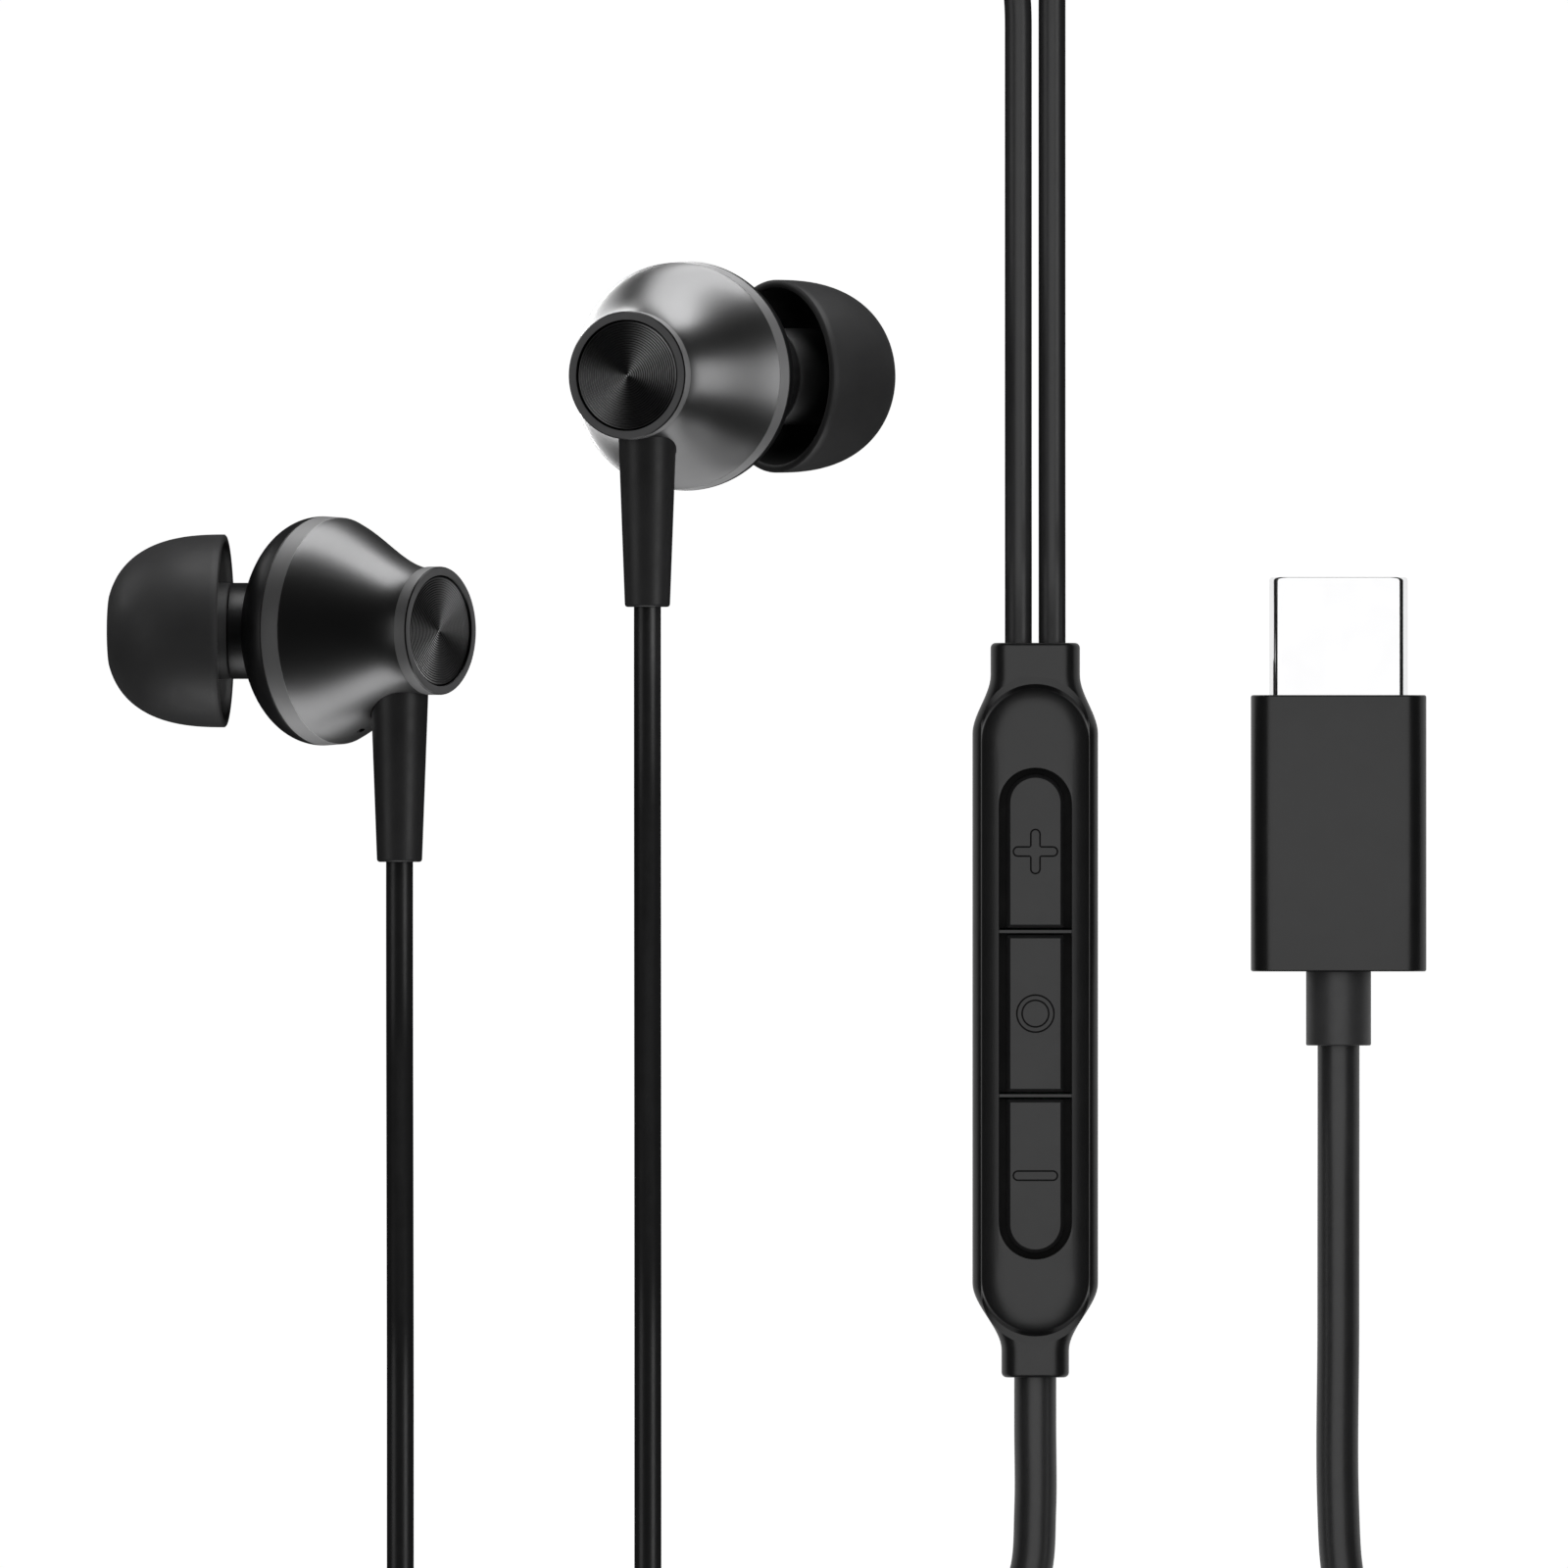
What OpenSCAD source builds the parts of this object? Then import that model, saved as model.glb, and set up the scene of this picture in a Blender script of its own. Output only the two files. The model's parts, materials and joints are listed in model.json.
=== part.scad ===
// Wired in-ear earphones with an in-line remote and a reversible data plug,
// laid out flat on a table. The table is z = 0 and +Y runs up the layout.

/* [Ear housing] */
// Radius of the widest edge, where the front cover meets the metal shell
lip_r = 6.8; // [6.4:0.1:7.2]
// Distance from the cap's face to that edge, along the housing
lip_back = 8.16; // [7.8:0.02:8.6]
// Radius of the narrow neck behind the cap ring
neck_r = 3.7; // [3.6:0.05:3.75]
// Thickness of the metal shell
shell_wall = 0.5; // [0.4:0.05:0.6]
// Outer radius of the cap ring
ring_r = 3.8; // [3.76:0.02:4]
// Height of the cap ring
ring_h = 0.85; // [0.8:0.05:1]
// Radius of the spun disc in the cap ring
disc_r = 3.24; // [3.1:0.02:3.3]

/* [Nozzle and ear tip] */
// Angle between the nozzle and the housing axis
nozzle_tilt = 28.5; // [24:0.5:32]
// Depth behind the cap's face where the nozzle axis crosses the housing axis
nozzle_root = 5.7; // [5.4:0.1:6]
// Outer radius of the nozzle
nozzle_r = 2.05; // [1.9:0.05:2.1]
// Radius of the bore in the nozzle
nozzle_bore_r = 1.55; // [1.3:0.05:1.6]
// Outer radius of the ear tip's skirt
tip_r = 5.72; // [5:0.02:6.2]
// Length of the ear tip from skirt edge to front
tip_len = 7.1; // [6.5:0.1:7.6]
// Outer radius of the ear tip's core
core_r = 2.85; // [2.6:0.05:2.9]

/* [Stem] */
// Radius of the stem where it leaves the shell
stem_r = 1.7; // [1.6:0.05:1.75]
// Radius of the stem at its far end
stem_end_r = 1.335; // [1.2:0.005:1.4]
// Distance from the housing axis to the stem's far end
stem_len = 13.7; // [12:0.1:15]
// Distance of the stem axis behind the cap's face
stem_back = 2.95; // [2.9:0.05:3.1]

/* [Remote] */
// Width of the remote
remote_w = 7.45; // [7.2:0.05:8]
// Length of the remote
remote_len = 43.6; // [42:0.1:45]
// Thickness of the remote
remote_h = 4.8; // [4.6:0.1:5.2]
// Wall thickness of the remote's shells
remote_wall = 0.8; // [0.7:0.05:0.9]
// Width of the keys
key_w = 3.38; // [3:0.02:3.5]
// Width of the slot that the keys stand in
slot_w = 4.26; // [4.1:0.02:4.4]
// Length of that slot
slot_len = 29.1; // [28.8:0.1:29.4]
// Travel of a key
key_travel = 0.25; // [0.15:0.05:0.25]

/* [Plug] */
// Width of the plug's metal shell
plug_shell_w = 8.25; // [8.2:0.01:8.3]
// Thickness of that shell
plug_shell_h = 2.4; // [2.35:0.01:2.45]
// Length of the shell that shows
plug_shell_len = 7; // [6.6:0.1:7.2]
// Width of the plug's moulded body
body_w = 10.4; // [10:0.1:11]
// Length of the moulded body
body_len = 16.4; // [15:0.1:18]
// Thickness of the moulded body
body_h = 5.6; // [5.4:0.1:6]
// Radius of the sleeve behind the moulded body
sleeve_r = 1.93; // [1.8:0.01:2.1]
// Length of that sleeve
sleeve_len = 4.4; // [4:0.1:5]

/* [Cords] */
// Diameter of the cord to each ear
ear_cord_d = 1.6; // [1.4:0.1:1.6]
// Diameter of the cord from the remote to the plug
main_cord_d = 2.5; // [2.2:0.1:2.5]
// Radius at the middle of the coil's turns
coil_r = 14.85; // [14.6:0.05:15]

/* [Hidden] */
$fn = 48;
eps = 0.02;             // clearance between pieces that sit in each other
far = 40;               // longer than any piece that is cut through

SIDES = ["left", "right"];
EAR_PIECES = [
    "ear_tip", "front_housing", "nozzle_mesh", "driver_frame", "driver_diaphragm",
    "voice_coil", "driver_top_plate", "driver_magnet", "driver_yoke", "rear_housing",
    "cap_ring", "cap_disc", "vent_mesh", "strain_relief", "cord_knot"
];

// Where each stem ends and its cord starts, and how far each housing leans
stem_end = [[-12, -2.5, 9.2], [2.7, 12.6, 14.2]];
lean = [56.5, -24.5];

// Driver, measured along the housing from the cap's face
driver_front = 9.05;
driver_r = 5.45;
yoke_r = 3.9;
magnet_r = 2.8;
magnet_back = 6.6;
plate_back = 7.8;
plate_front = 8.3;

// Ear tip, measured along the nozzle from its root
tip_start = 8.07;
core_start = 7.75;
nozzle_end = 13.3;
tip_bore_r = nozzle_r + 0.05;
tip_mouth_r = 1.9;
dome_power = 2.6;       // exponent of the tip's superellipse outline

// Remote and plug places
remote_pos = [25.7, -11.3];
slot_shift = -0.2;
rib_at = 4.87;
rib_w = 0.22;
key_gap = 0.1;
seam_z = 2.4;
shoulder_z = 3.9;
face_wall_z = 4;
board_z = 2;
board_t = 0.6;
plug_pos = [43.7, -0.8];
axis_z = body_h / 2;

// Coil of the main cord
coil_pos = [33, -68];
coil_half = 6.25;       // half of the wound ring's width
coil_h = 5;
tie_t = 0.4;
tie_w = 4;

// Routes of the free cords, on the table wherever nothing holds them up
left_route = [
    [-12, -2.5, 9.2], [-12, -7, 9.2], [-12, -14, 7.6], [-12, -22, 4.4], [-12, -29, 2],
    [-12, -36, 0.9], [-12, -43, 0.8], [-12, -49, 0.8], [-13.2, -53.6, 0.8],
    [-16.4, -56.4, 0.8], [-21, -57, 0.8], [-32, -57, 0.8], [-38.5, -55.2, 0.8],
    [-42.4, -50.4, 0.8], [-43.5, -44, 0.8], [-43.5, -16, 0.8], [-43.5, 12, 0.8],
    [-43.5, 40, 0.8], [-42.4, 52.4, 0.8], [-38, 58.2, 0.8], [-32, 60, 0.8],
    [-12, 60, 0.8], [6, 60, 0.8], [17, 60, 0.8], [22.4, 58.6, 0.8],
    [25.8, 54.8, 0.8], [26.7, 49.6, 0.8], [26.7, 36, 0.8], [26.7, 23, 0.8],
    [26.7, 18, 1.3], [26.7, 14.5, 1.95], [26.7, 10.5, 1.95]
];
right_route = [
    [2.7, 12.6, 14.2], [2.7, 8, 14.2], [2.7, 0, 12.4], [2.7, -8, 9.4], [2.7, -16, 6],
    [2.7, -24, 3], [2.7, -32, 1.2], [2.7, -39, 0.8], [2.7, -45, 0.8],
    [1.5, -48.6, 0.8], [-1.8, -50.8, 0.9], [-6.5, -51, 1.7], [-12, -51, 2.5],
    [-17.5, -51, 1.7], [-23, -51, 0.9], [-30, -51, 0.8], [-35.4, -49.4, 0.8],
    [-38.6, -45, 0.8], [-39.5, -39, 0.8], [-39.5, -14, 0.8], [-39.5, 12, 0.8],
    [-39.5, 38, 0.8], [-38.4, 49.2, 0.8], [-34.8, 54, 0.8], [-29, 55.8, 0.8],
    [-12, 55.8, 0.8], [6, 55.8, 0.8], [16.5, 55.8, 0.8], [21.2, 54.6, 0.8],
    [24, 51.4, 0.8], [24.7, 47, 0.8], [24.7, 35, 0.8], [24.7, 23, 0.8],
    [24.7, 18, 1.3], [24.7, 14.5, 1.95], [24.7, 10.5, 1.95]
];
main_top_route = [
    [25.7, -33.1, 1.95], [25.7, -36, 1.95], [25.7, -41, 1.3], [25.4, -44.8, 1.3],
    [24.2, -47.6, 1.4], [22.2, -50.1, 1.6], [20, -52.6, 1.65], [17.8, -55.2, 1.65]
];
main_end_route = [
    [50.5, -58.7, 4.15], [48.6, -55.1, 3.4], [46.7, -51.7, 2.5], [45, -48.4, 1.7],
    [44, -45, 1.3], [43.7, -41, 1.25], [43.7, -30, 1.25], [43.7, -24, 1.7],
    [43.7, -17.5, 2.8], [43.7, -13.4, 2.8]
];

// Point at t along a cubic curve with four control points
function curve(p, t) =
    pow(1 - t, 3) * p[0] + 3 * t * pow(1 - t, 2) * p[1]
    + 3 * t * t * (1 - t) * p[2] + pow(t, 3) * p[3];
function curve_points(p, steps = 14) = [for (i = [0 : steps]) curve(p, i / steps)];
function reversed(list) = [for (i = [len(list) - 1 : -1 : 0]) list[i]];
function ease(t) = t * t * (3 - 2 * t);
function unit(v) = v / norm(v);

// Quarter of a superellipse, from its widest point (t = 0) towards its tip
function dome_point(r, h, t) =
    [r * pow(cos(t), 2 / dome_power), h * pow(sin(t), 2 / dome_power)];

// Angle at which that outline has come in to radius edge_r
function dome_angle(r, edge_r) = acos(pow(edge_r / r, dome_power / 2));

// Outline of the metal shell, from its neck to its lip, set in by a wall
function shell_curve(inset) = [
    [neck_r - inset, -ring_h], [3.85 - inset, -3.2],
    [6.05 - inset, -5.5], [lip_r - 0.1 - inset, -7.3]
];
front_curve = [[lip_r, -lip_back], [lip_r, -10.2], [5, -11.6], [0, -12.2]];
chamber_curve = [[5.1, -9.15], [5, -10.4], [3.6, -11.3], [0, -11.4]];

// Half of the remote's width at a distance from its top end
function remote_half(s) =
    s < 1.9 ? 2.65
    : s < 5.4 ? 2.65 + (remote_w / 2 - 2.65) * ease((s - 1.9) / 3.5)
    : s < 38 ? remote_w / 2
    : s < 42 ? remote_w / 2 - (remote_w / 2 - 2) * ease((s - 38) / 4)
    : 2;
remote_stations = [
    0, 1.9, for (i = [1 : 6]) 1.9 + 3.5 * i / 6,
    for (i = [0 : 7]) 38 + 4 * i / 7, remote_len
];

// One ring of points around a route, square to the way the route runs there
function route_way(route, i) =
    unit(route[min(i + 1, len(route) - 1)] - route[max(i - 1, 0)]);
function ring_points(centre, way, r, sides) =
    let (across = unit(cross([0, 0, 1], way)), up = cross(way, across))
    [for (k = [0 : sides - 1])
        centre + r * (cos(360 * k / sides) * across + sin(360 * k / sides) * up)];

module tube(route, d, sides = 8) {
    rings = len(route);
    points = [for (i = [0 : rings - 1])
        each ring_points(route[i], route_way(route, i), d / 2, sides)];
    walls = [for (i = [0 : rings - 2]) for (k = [0 : sides - 1])
        let (a = i * sides + k, b = i * sides + (k + 1) % sides)
        [a, a + sides, b + sides, b]];
    first_end = [for (k = [0 : sides - 1]) k];
    last_end = [for (k = [sides - 1 : -1 : 0]) (rings - 1) * sides + k];
    polyhedron(points, concat([first_end, last_end], walls), convexity = 10);
}

// Housing frame: z runs along the housing with the cap's face at 0, the stem
// points down -y, and the nozzle leans towards +x
module place_ear(side) {
    i = side == "left" ? 0 : 1;
    translate(stem_end[i]) rotate([0, lean[i], 0]) mirror([i == 0 ? 1 : 0, 0, 0])
        translate([0, stem_len, stem_back]) children();
}
module along_nozzle() {
    translate([0, 0, -nozzle_root]) rotate([0, 180 - nozzle_tilt, 0]) children();
}
module along_stem() {
    translate([0, 0, -stem_back]) rotate([90, 0, 0]) children();
}
module band(outer_r, inner_r, from_z, to_z) {
    rotate_extrude() translate([inner_r, from_z]) square([outer_r - inner_r, to_z - from_z]);
}

module ear_tip() {
    skirt_r = tip_r - 0.47;
    hollow_h = 5.3;
    mouth = dome_angle(tip_r, tip_mouth_r);
    root = dome_angle(skirt_r, core_r);
    steps = 14;
    color("#2b2b2d") along_nozzle() translate([0, 0, tip_start]) rotate_extrude()
        polygon(concat(
            [for (i = [0 : steps]) dome_point(tip_r, tip_len, mouth * i / steps)],
            [[tip_mouth_r, 5.6], [tip_bore_r, 5.6],
             [tip_bore_r, core_start - tip_start], [core_r, core_start - tip_start]],
            [for (i = [steps : -1 : 0]) dome_point(skirt_r, hollow_h, root * i / steps)]
        ));
}
module front_housing() {
    spigot_r = lip_r - 0.1 - shell_wall - eps;
    color("#1d1d1f") difference() {
        union() {
            rotate_extrude() polygon(concat(
                curve_points(front_curve), reversed(curve_points(chamber_curve)),
                [[driver_r + 0.05, -9.15], [driver_r + 0.05, -7.3],
                 [spigot_r, -7.3], [spigot_r, -lip_back]]
            ));
            along_nozzle() translate([0, 0, 6.2]) cylinder(r = nozzle_r, h = nozzle_end - 6.2);
            along_nozzle() translate([0, 0, 6.2]) cylinder(r = core_r, h = 7.7 - 6.2);
        }
        along_nozzle() translate([0, 0, 4]) cylinder(r = nozzle_bore_r, h = far);
    }
}
module nozzle_mesh() {
    color("#6f7174") along_nozzle() translate([0, 0, nozzle_end - 0.4])
        cylinder(r = nozzle_bore_r - eps, h = 0.2);
}
module driver_frame() {
    color("#3a3a3c") {
        band(driver_r, yoke_r + eps, -plate_front, -7.7);
        band(driver_r, 5.1, -8.93, -plate_front);
    }
}
module driver_diaphragm() {
    front = [[0, -9.9], [1.6, -9.7], [3.1, -9.05], [3.75, -9.35], [4.3, -9.05], [5.4, -9.05]];
    color("#b8a27a") rotate_extrude()
        polygon(concat(front, [for (p = reversed(front)) p + [0, 0.1]]));
}
module voice_coil() {
    color("#b06a3a") band(3.22, 3.05, -8.93, -7.5);
}
module driver_top_plate() {
    color("#a9abae") translate([0, 0, -plate_front])
        cylinder(r = magnet_r + 0.1, h = plate_front - plate_back);
}
module driver_magnet() {
    color("#8f9296") translate([0, 0, -plate_back])
        cylinder(r = magnet_r, h = plate_back - magnet_back);
}
module driver_yoke() {
    color("#9a9da1") {
        band(yoke_r, 3.4, -plate_front, -magnet_back);
        translate([0, 0, -magnet_back]) cylinder(r = yoke_r, h = 0.5);
    }
}
module rear_housing() {
    bore_r = lip_r - 0.1 - shell_wall;
    color("#55585c") difference() {
        rotate_extrude() polygon(concat(
            curve_points(shell_curve(0)), [[lip_r, -lip_back], [bore_r, -lip_back]],
            reversed(curve_points(shell_curve(shell_wall)))
        ));
        along_stem() cylinder(r = stem_r + eps, h = far);
        translate([0, 0, -5.7]) rotate([90, 0, 0]) for (dx = [-0.12, 0.12])
            translate([dx, 0, 0]) cylinder(r = 0.14, h = far);
    }
}
module cap_ring() {
    seat_z = -0.55;
    color("#606368") rotate_extrude() polygon([
        [ring_r, -ring_h], [ring_r, 0], [disc_r + 0.03, 0], [disc_r + 0.03, seat_z],
        [2.4, seat_z], [2.4, -1], [neck_r - shell_wall - eps, -1],
        [neck_r - shell_wall - eps, -ring_h]
    ]);
}
module cap_disc() {
    color("#262729") translate([0, 0, -0.5]) cylinder(r = disc_r, h = 0.38);
}
module vent_mesh() {
    color("#2e2e30") translate([0, -5.1, -5.7]) rotate([90, 0, 0]) cylinder(r = 0.3, h = 0.08);
}
module strain_relief() {
    corner = 0.3;
    color("#262628") along_stem() rotate_extrude() polygon(concat(
        [[0, 2.3], [1.9, 2.3], [1.9, 2.9], [stem_r, 2.9], [stem_r, 3.9]],
        [for (a = [0 : 15 : 90])
            [stem_end_r - corner + corner * cos(a), stem_len - corner + corner * sin(a)]],
        [[0, stem_len]]
    ));
}
module cord_knot() {
    color("#202022") along_stem() translate([0, 0, 0.9]) cylinder(r = 0.9, h = 1.4 - eps);
}
module ear_piece(piece) {
    if (piece == "ear_tip") ear_tip();
    if (piece == "front_housing") front_housing();
    if (piece == "nozzle_mesh") nozzle_mesh();
    if (piece == "driver_frame") driver_frame();
    if (piece == "driver_diaphragm") driver_diaphragm();
    if (piece == "voice_coil") voice_coil();
    if (piece == "driver_top_plate") driver_top_plate();
    if (piece == "driver_magnet") driver_magnet();
    if (piece == "driver_yoke") driver_yoke();
    if (piece == "rear_housing") rear_housing();
    if (piece == "cap_ring") cap_ring();
    if (piece == "cap_disc") cap_disc();
    if (piece == "vent_mesh") vent_mesh();
    if (piece == "strain_relief") strain_relief();
    if (piece == "cord_knot") cord_knot();
}

// Remote frame: its centre is at the origin and its top end at +y
module place_remote() {
    translate([remote_pos[0], remote_pos[1], 0]) children();
}
module remote_outline(inset = 0) {
    top = remote_len / 2;
    side = [for (s = remote_stations)
        [remote_half(s) - inset, top - max(inset, min(remote_len - inset, s))]];
    polygon(concat(side, [for (p = reversed(side)) [-p[0], p[1]]]));
}
module stadium(w, length) {
    square([w, length - w], center = true);
    for (end = [-1, 1]) translate([0, end * (length - w) / 2]) circle(d = w);
}
module slab(from_z, to_z) {
    translate([0, 0, from_z]) linear_extrude(to_z - from_z) children();
}
module remote_back_shell() {
    color("#2a2a2c") place_remote() difference() {
        slab(0, seam_z) remote_outline();
        slab(remote_wall, far) remote_outline(remote_wall);
        translate([0, -16, -far / 2]) cylinder(r = 0.35, h = far);
    }
    color("#2a2a2c") place_remote() for (x = [-1.8, 1.8]) for (y = [-15, 14])
        translate([x, y, remote_wall]) cylinder(r = 0.4, h = board_z - remote_wall);
}
module remote_front_shell() {
    color("#2a2a2c") place_remote() {
        difference() {
            union() {
                slab(seam_z, shoulder_z) remote_outline();
                slab(seam_z, remote_h) stadium(6.45, 38.3);
            }
            slab(0, shoulder_z - remote_wall) remote_outline(remote_wall);
            slab(0, face_wall_z) stadium(5.3, 37);
            translate([0, slot_shift]) slab(0, far) stadium(slot_w, slot_len);
        }
        for (end = [-1, 1]) translate([0, slot_shift + end * rib_at])
            slab(face_wall_z, remote_h) square([slot_w, rib_w], center = true);
    }
}

// A key's outline between two heights across the slot; an end key is round at
// its outer end
module key_outline(row, w) {
    inner = rib_at + rib_w / 2 + key_gap;
    middle = rib_at - rib_w / 2 - key_gap;
    outer = slot_len / 2 - (slot_w - key_w) / 2 + (w - key_w) / 2;
    if (row == 0) square([w, 2 * middle], center = true);
    else mirror([0, row < 0 ? 1 : 0]) {
        translate([-w / 2, inner]) square([w, outer - w / 2 - inner]);
        translate([0, outer - w / 2]) circle(d = w);
    }
}
module key(row) {
    flange_w = slot_w + 0.6;
    color("#2f2f31") place_remote() translate([0, slot_shift]) {
        slab(3.5, remote_h - 0.05) key_outline(row, key_w);
        slab(3.5, face_wall_z - 0.05) intersection() {
            key_outline(row, flange_w);
            square([flange_w, slot_len + 0.4], center = true);
        }
    }
}
module remote_circuit_board() {
    color("#1f5a38") place_remote() slab(board_z, board_z + board_t)
        square([4.4, 33], center = true);
}
module key_switches() {
    color("#b9bbbe") place_remote() for (y = [-9.6, 0, 9.6])
        translate([0, y + slot_shift, board_z + board_t]) {
            slab(0, 0.45) square(3, center = true);
            cylinder(r = 0.9, h = 3.5 - key_travel - 0.05 - board_z - board_t);
        }
}
module remote_microphone() {
    color("#c6a65a") place_remote() translate([0, -16, board_z - 0.8])
        slab(0, 0.8) difference() {
            square([2.4, 1.8], center = true);
            circle(r = 0.25);
        }
}
module remote_chip() {
    color("#18181a") place_remote() translate([0, 8, board_z - 0.7])
        slab(0, 0.7) square(3, center = true);
}
module remote_cord_anchors() {
    color("#202022") place_remote() {
        translate([-1.7, 17.6, 1.1]) cube([3.4, 2, 1.7]);
        translate([-1, -20.4, 1.1]) cube([2, 2, 1.7]);
    }
}

// Plug frame: the centre of the moulded body, with the metal shell towards +y
module place_plug() {
    translate([plug_pos[0], plug_pos[1], axis_z]) children();
}
module along_y(from_y, to_y) {
    translate([0, to_y, 0]) rotate([90, 0, 0]) linear_extrude(to_y - from_y) children();
}
module flat_tube(w, h) {
    square([w - h, h], center = true);
    for (end = [-1, 1]) translate([end * (w - h) / 2, 0]) circle(d = h);
}
plug_tail = 3.4;        // the metal shell's length inside the moulded body
mouth_depth = 5.8;
module plug_shell() {
    sheet = 0.3;
    color("#dfe1e4") place_plug()
        along_y(body_len / 2 - plug_tail, body_len / 2 + plug_shell_len) difference() {
            flat_tube(plug_shell_w, plug_shell_h);
            flat_tube(plug_shell_w - 2 * sheet, plug_shell_h - 2 * sheet);
        }
}
module plug_insulator() {
    front = body_len / 2 + plug_shell_len - 0.4;
    color("#1a1a1c") place_plug() difference() {
        along_y(body_len / 2 - plug_tail, front)
            flat_tube(plug_shell_w - 0.64, plug_shell_h - 0.64);
        along_y(front - mouth_depth, far) square([6.7, 0.9], center = true);
    }
}
module plug_contacts() {
    pitch = 0.5;
    front = body_len / 2 + plug_shell_len - 0.9;
    color("#d8b45a") place_plug() for (row = [-1, 1]) for (i = [-5.5 : 5.5])
        translate([i * pitch, front - 2.4, row * 0.39]) cube([0.26, 4.8, 0.1], center = true);
}
module plug_circuit_board() {
    color("#1f5a38") place_plug() translate([0, -1.6, 0]) cube([8, 12.4, 0.8], center = true);
}
module plug_converter_chip() {
    color("#18181a") place_plug() translate([0, -2, 0.4 + 0.45]) cube([3.6, 3.6, 0.9], center = true);
}
module plug_body() {
    edge_r = 1;
    color("#2a2a2c") place_plug() difference() {
        along_y(-body_len / 2, body_len / 2) {
            square([body_w - 2 * edge_r, body_h], center = true);
            square([body_w, body_h - 2 * edge_r], center = true);
            for (x = [-1, 1]) for (z = [-1, 1])
                translate([x * (body_w / 2 - edge_r), z * (body_h / 2 - edge_r)]) circle(r = edge_r);
        }
        along_y(body_len / 2 - plug_tail, far)
            flat_tube(plug_shell_w + eps, plug_shell_h + eps);
        along_y(-body_len / 2 + 0.2, body_len / 2 - plug_tail)
            square([8.4, 3], center = true);
    }
}
module plug_sleeve() {
    color("#262628") place_plug() along_y(-body_len / 2 - sleeve_len, -body_len / 2)
        circle(r = sleeve_r);
}

module left_cord() {
    color("#2c2c2e") tube(left_route, ear_cord_d);
}
module right_cord() {
    color("#2c2c2e") tube(right_route, ear_cord_d);
}
module main_cord_top() {
    color("#2c2c2e") tube(main_top_route, main_cord_d);
}
module main_cord_end() {
    color("#2c2c2e") tube(main_end_route, main_cord_d);
}
module main_coil() {
    color("#2c2c2e") translate([coil_pos[0], coil_pos[1], 0])
        band(coil_r + coil_half, coil_r - coil_half, tie_t, tie_t + coil_h);
}
module coil_tie() {
    inner_x = coil_r - coil_half - 0.3;
    outer_x = coil_r + coil_half + eps;
    color("#3a3a3c") translate([coil_pos[0], coil_pos[1], 0]) rotate([0, 0, -90])
        translate([0, tie_w / 2, 0]) rotate([90, 0, 0]) linear_extrude(tie_w) difference() {
            translate([inner_x - tie_t, 0])
                square([outer_x - inner_x + 2 * tie_t, coil_h + 2 * tie_t + eps]);
            translate([inner_x, tie_t - eps]) square([outer_x - inner_x, coil_h + 2 * eps]);
        }
}

for (side = SIDES) for (piece = EAR_PIECES)
    place_ear(side) ear_piece(piece);
remote_back_shell();
remote_front_shell();
key(1);  // volume_up_key
key(0);  // play_key
key(-1);  // volume_down_key
remote_circuit_board();
key_switches();
remote_microphone();
remote_chip();
remote_cord_anchors();
plug_shell();
plug_insulator();
plug_contacts();
plug_circuit_board();
plug_converter_chip();
plug_body();
plug_sleeve();
left_cord();
right_cord();
main_cord_top();
main_coil();
main_cord_end();
coil_tie();
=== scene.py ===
import json
import math
import bpy
import bmesh
from mathutils import Matrix, Vector


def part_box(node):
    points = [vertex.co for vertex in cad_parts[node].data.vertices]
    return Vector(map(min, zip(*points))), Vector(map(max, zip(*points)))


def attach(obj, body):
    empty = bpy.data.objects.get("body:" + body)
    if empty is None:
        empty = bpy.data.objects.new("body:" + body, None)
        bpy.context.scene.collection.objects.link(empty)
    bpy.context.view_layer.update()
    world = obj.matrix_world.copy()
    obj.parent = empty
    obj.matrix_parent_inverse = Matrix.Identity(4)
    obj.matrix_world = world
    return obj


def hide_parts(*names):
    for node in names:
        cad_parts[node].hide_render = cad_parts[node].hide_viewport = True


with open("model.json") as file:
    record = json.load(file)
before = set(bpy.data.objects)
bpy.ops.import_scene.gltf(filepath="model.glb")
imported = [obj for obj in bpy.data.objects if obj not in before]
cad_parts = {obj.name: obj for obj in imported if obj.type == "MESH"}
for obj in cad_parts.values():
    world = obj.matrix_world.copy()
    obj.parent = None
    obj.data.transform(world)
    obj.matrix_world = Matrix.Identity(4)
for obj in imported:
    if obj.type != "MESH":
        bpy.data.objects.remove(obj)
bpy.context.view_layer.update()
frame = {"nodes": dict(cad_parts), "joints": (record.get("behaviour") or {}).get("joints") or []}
cadNodes = frame["nodes"]
joints = {joint["name"]: joint for joint in frame["joints"]}
mm = 0.001
sides = ("left", "right")
mainBody = "earphone_set"


def addObject(name, data):
    made = bpy.data.objects.new(name, data)
    bpy.context.scene.collection.objects.link(made)
    return made


def smoothStep(share):
    share = min(1, max(0, share))
    return share * share * (3 - 2 * share)


# Points along an arc, both ends included; angles are in degrees
def arcPoints(centre, radius, first, sweep, steps):
    turns = [math.radians(first + sweep * k / steps) for k in range(steps + 1)]
    return [(centre[0] + radius * math.cos(turn), centre[1] + radius * math.sin(turn))
            for turn in turns]


# The camera looks straight down on the layout through a very long lens
cameraSettings = {
    "aim": (0.010785, 0.002122, 0.005),  # the point under the lens
    "fieldWidth": 0.09302,  # how much of the table the frame takes in
    "lens": 1600,
    "sensor": 36,
    "clip": (0.05, 40),
}


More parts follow.
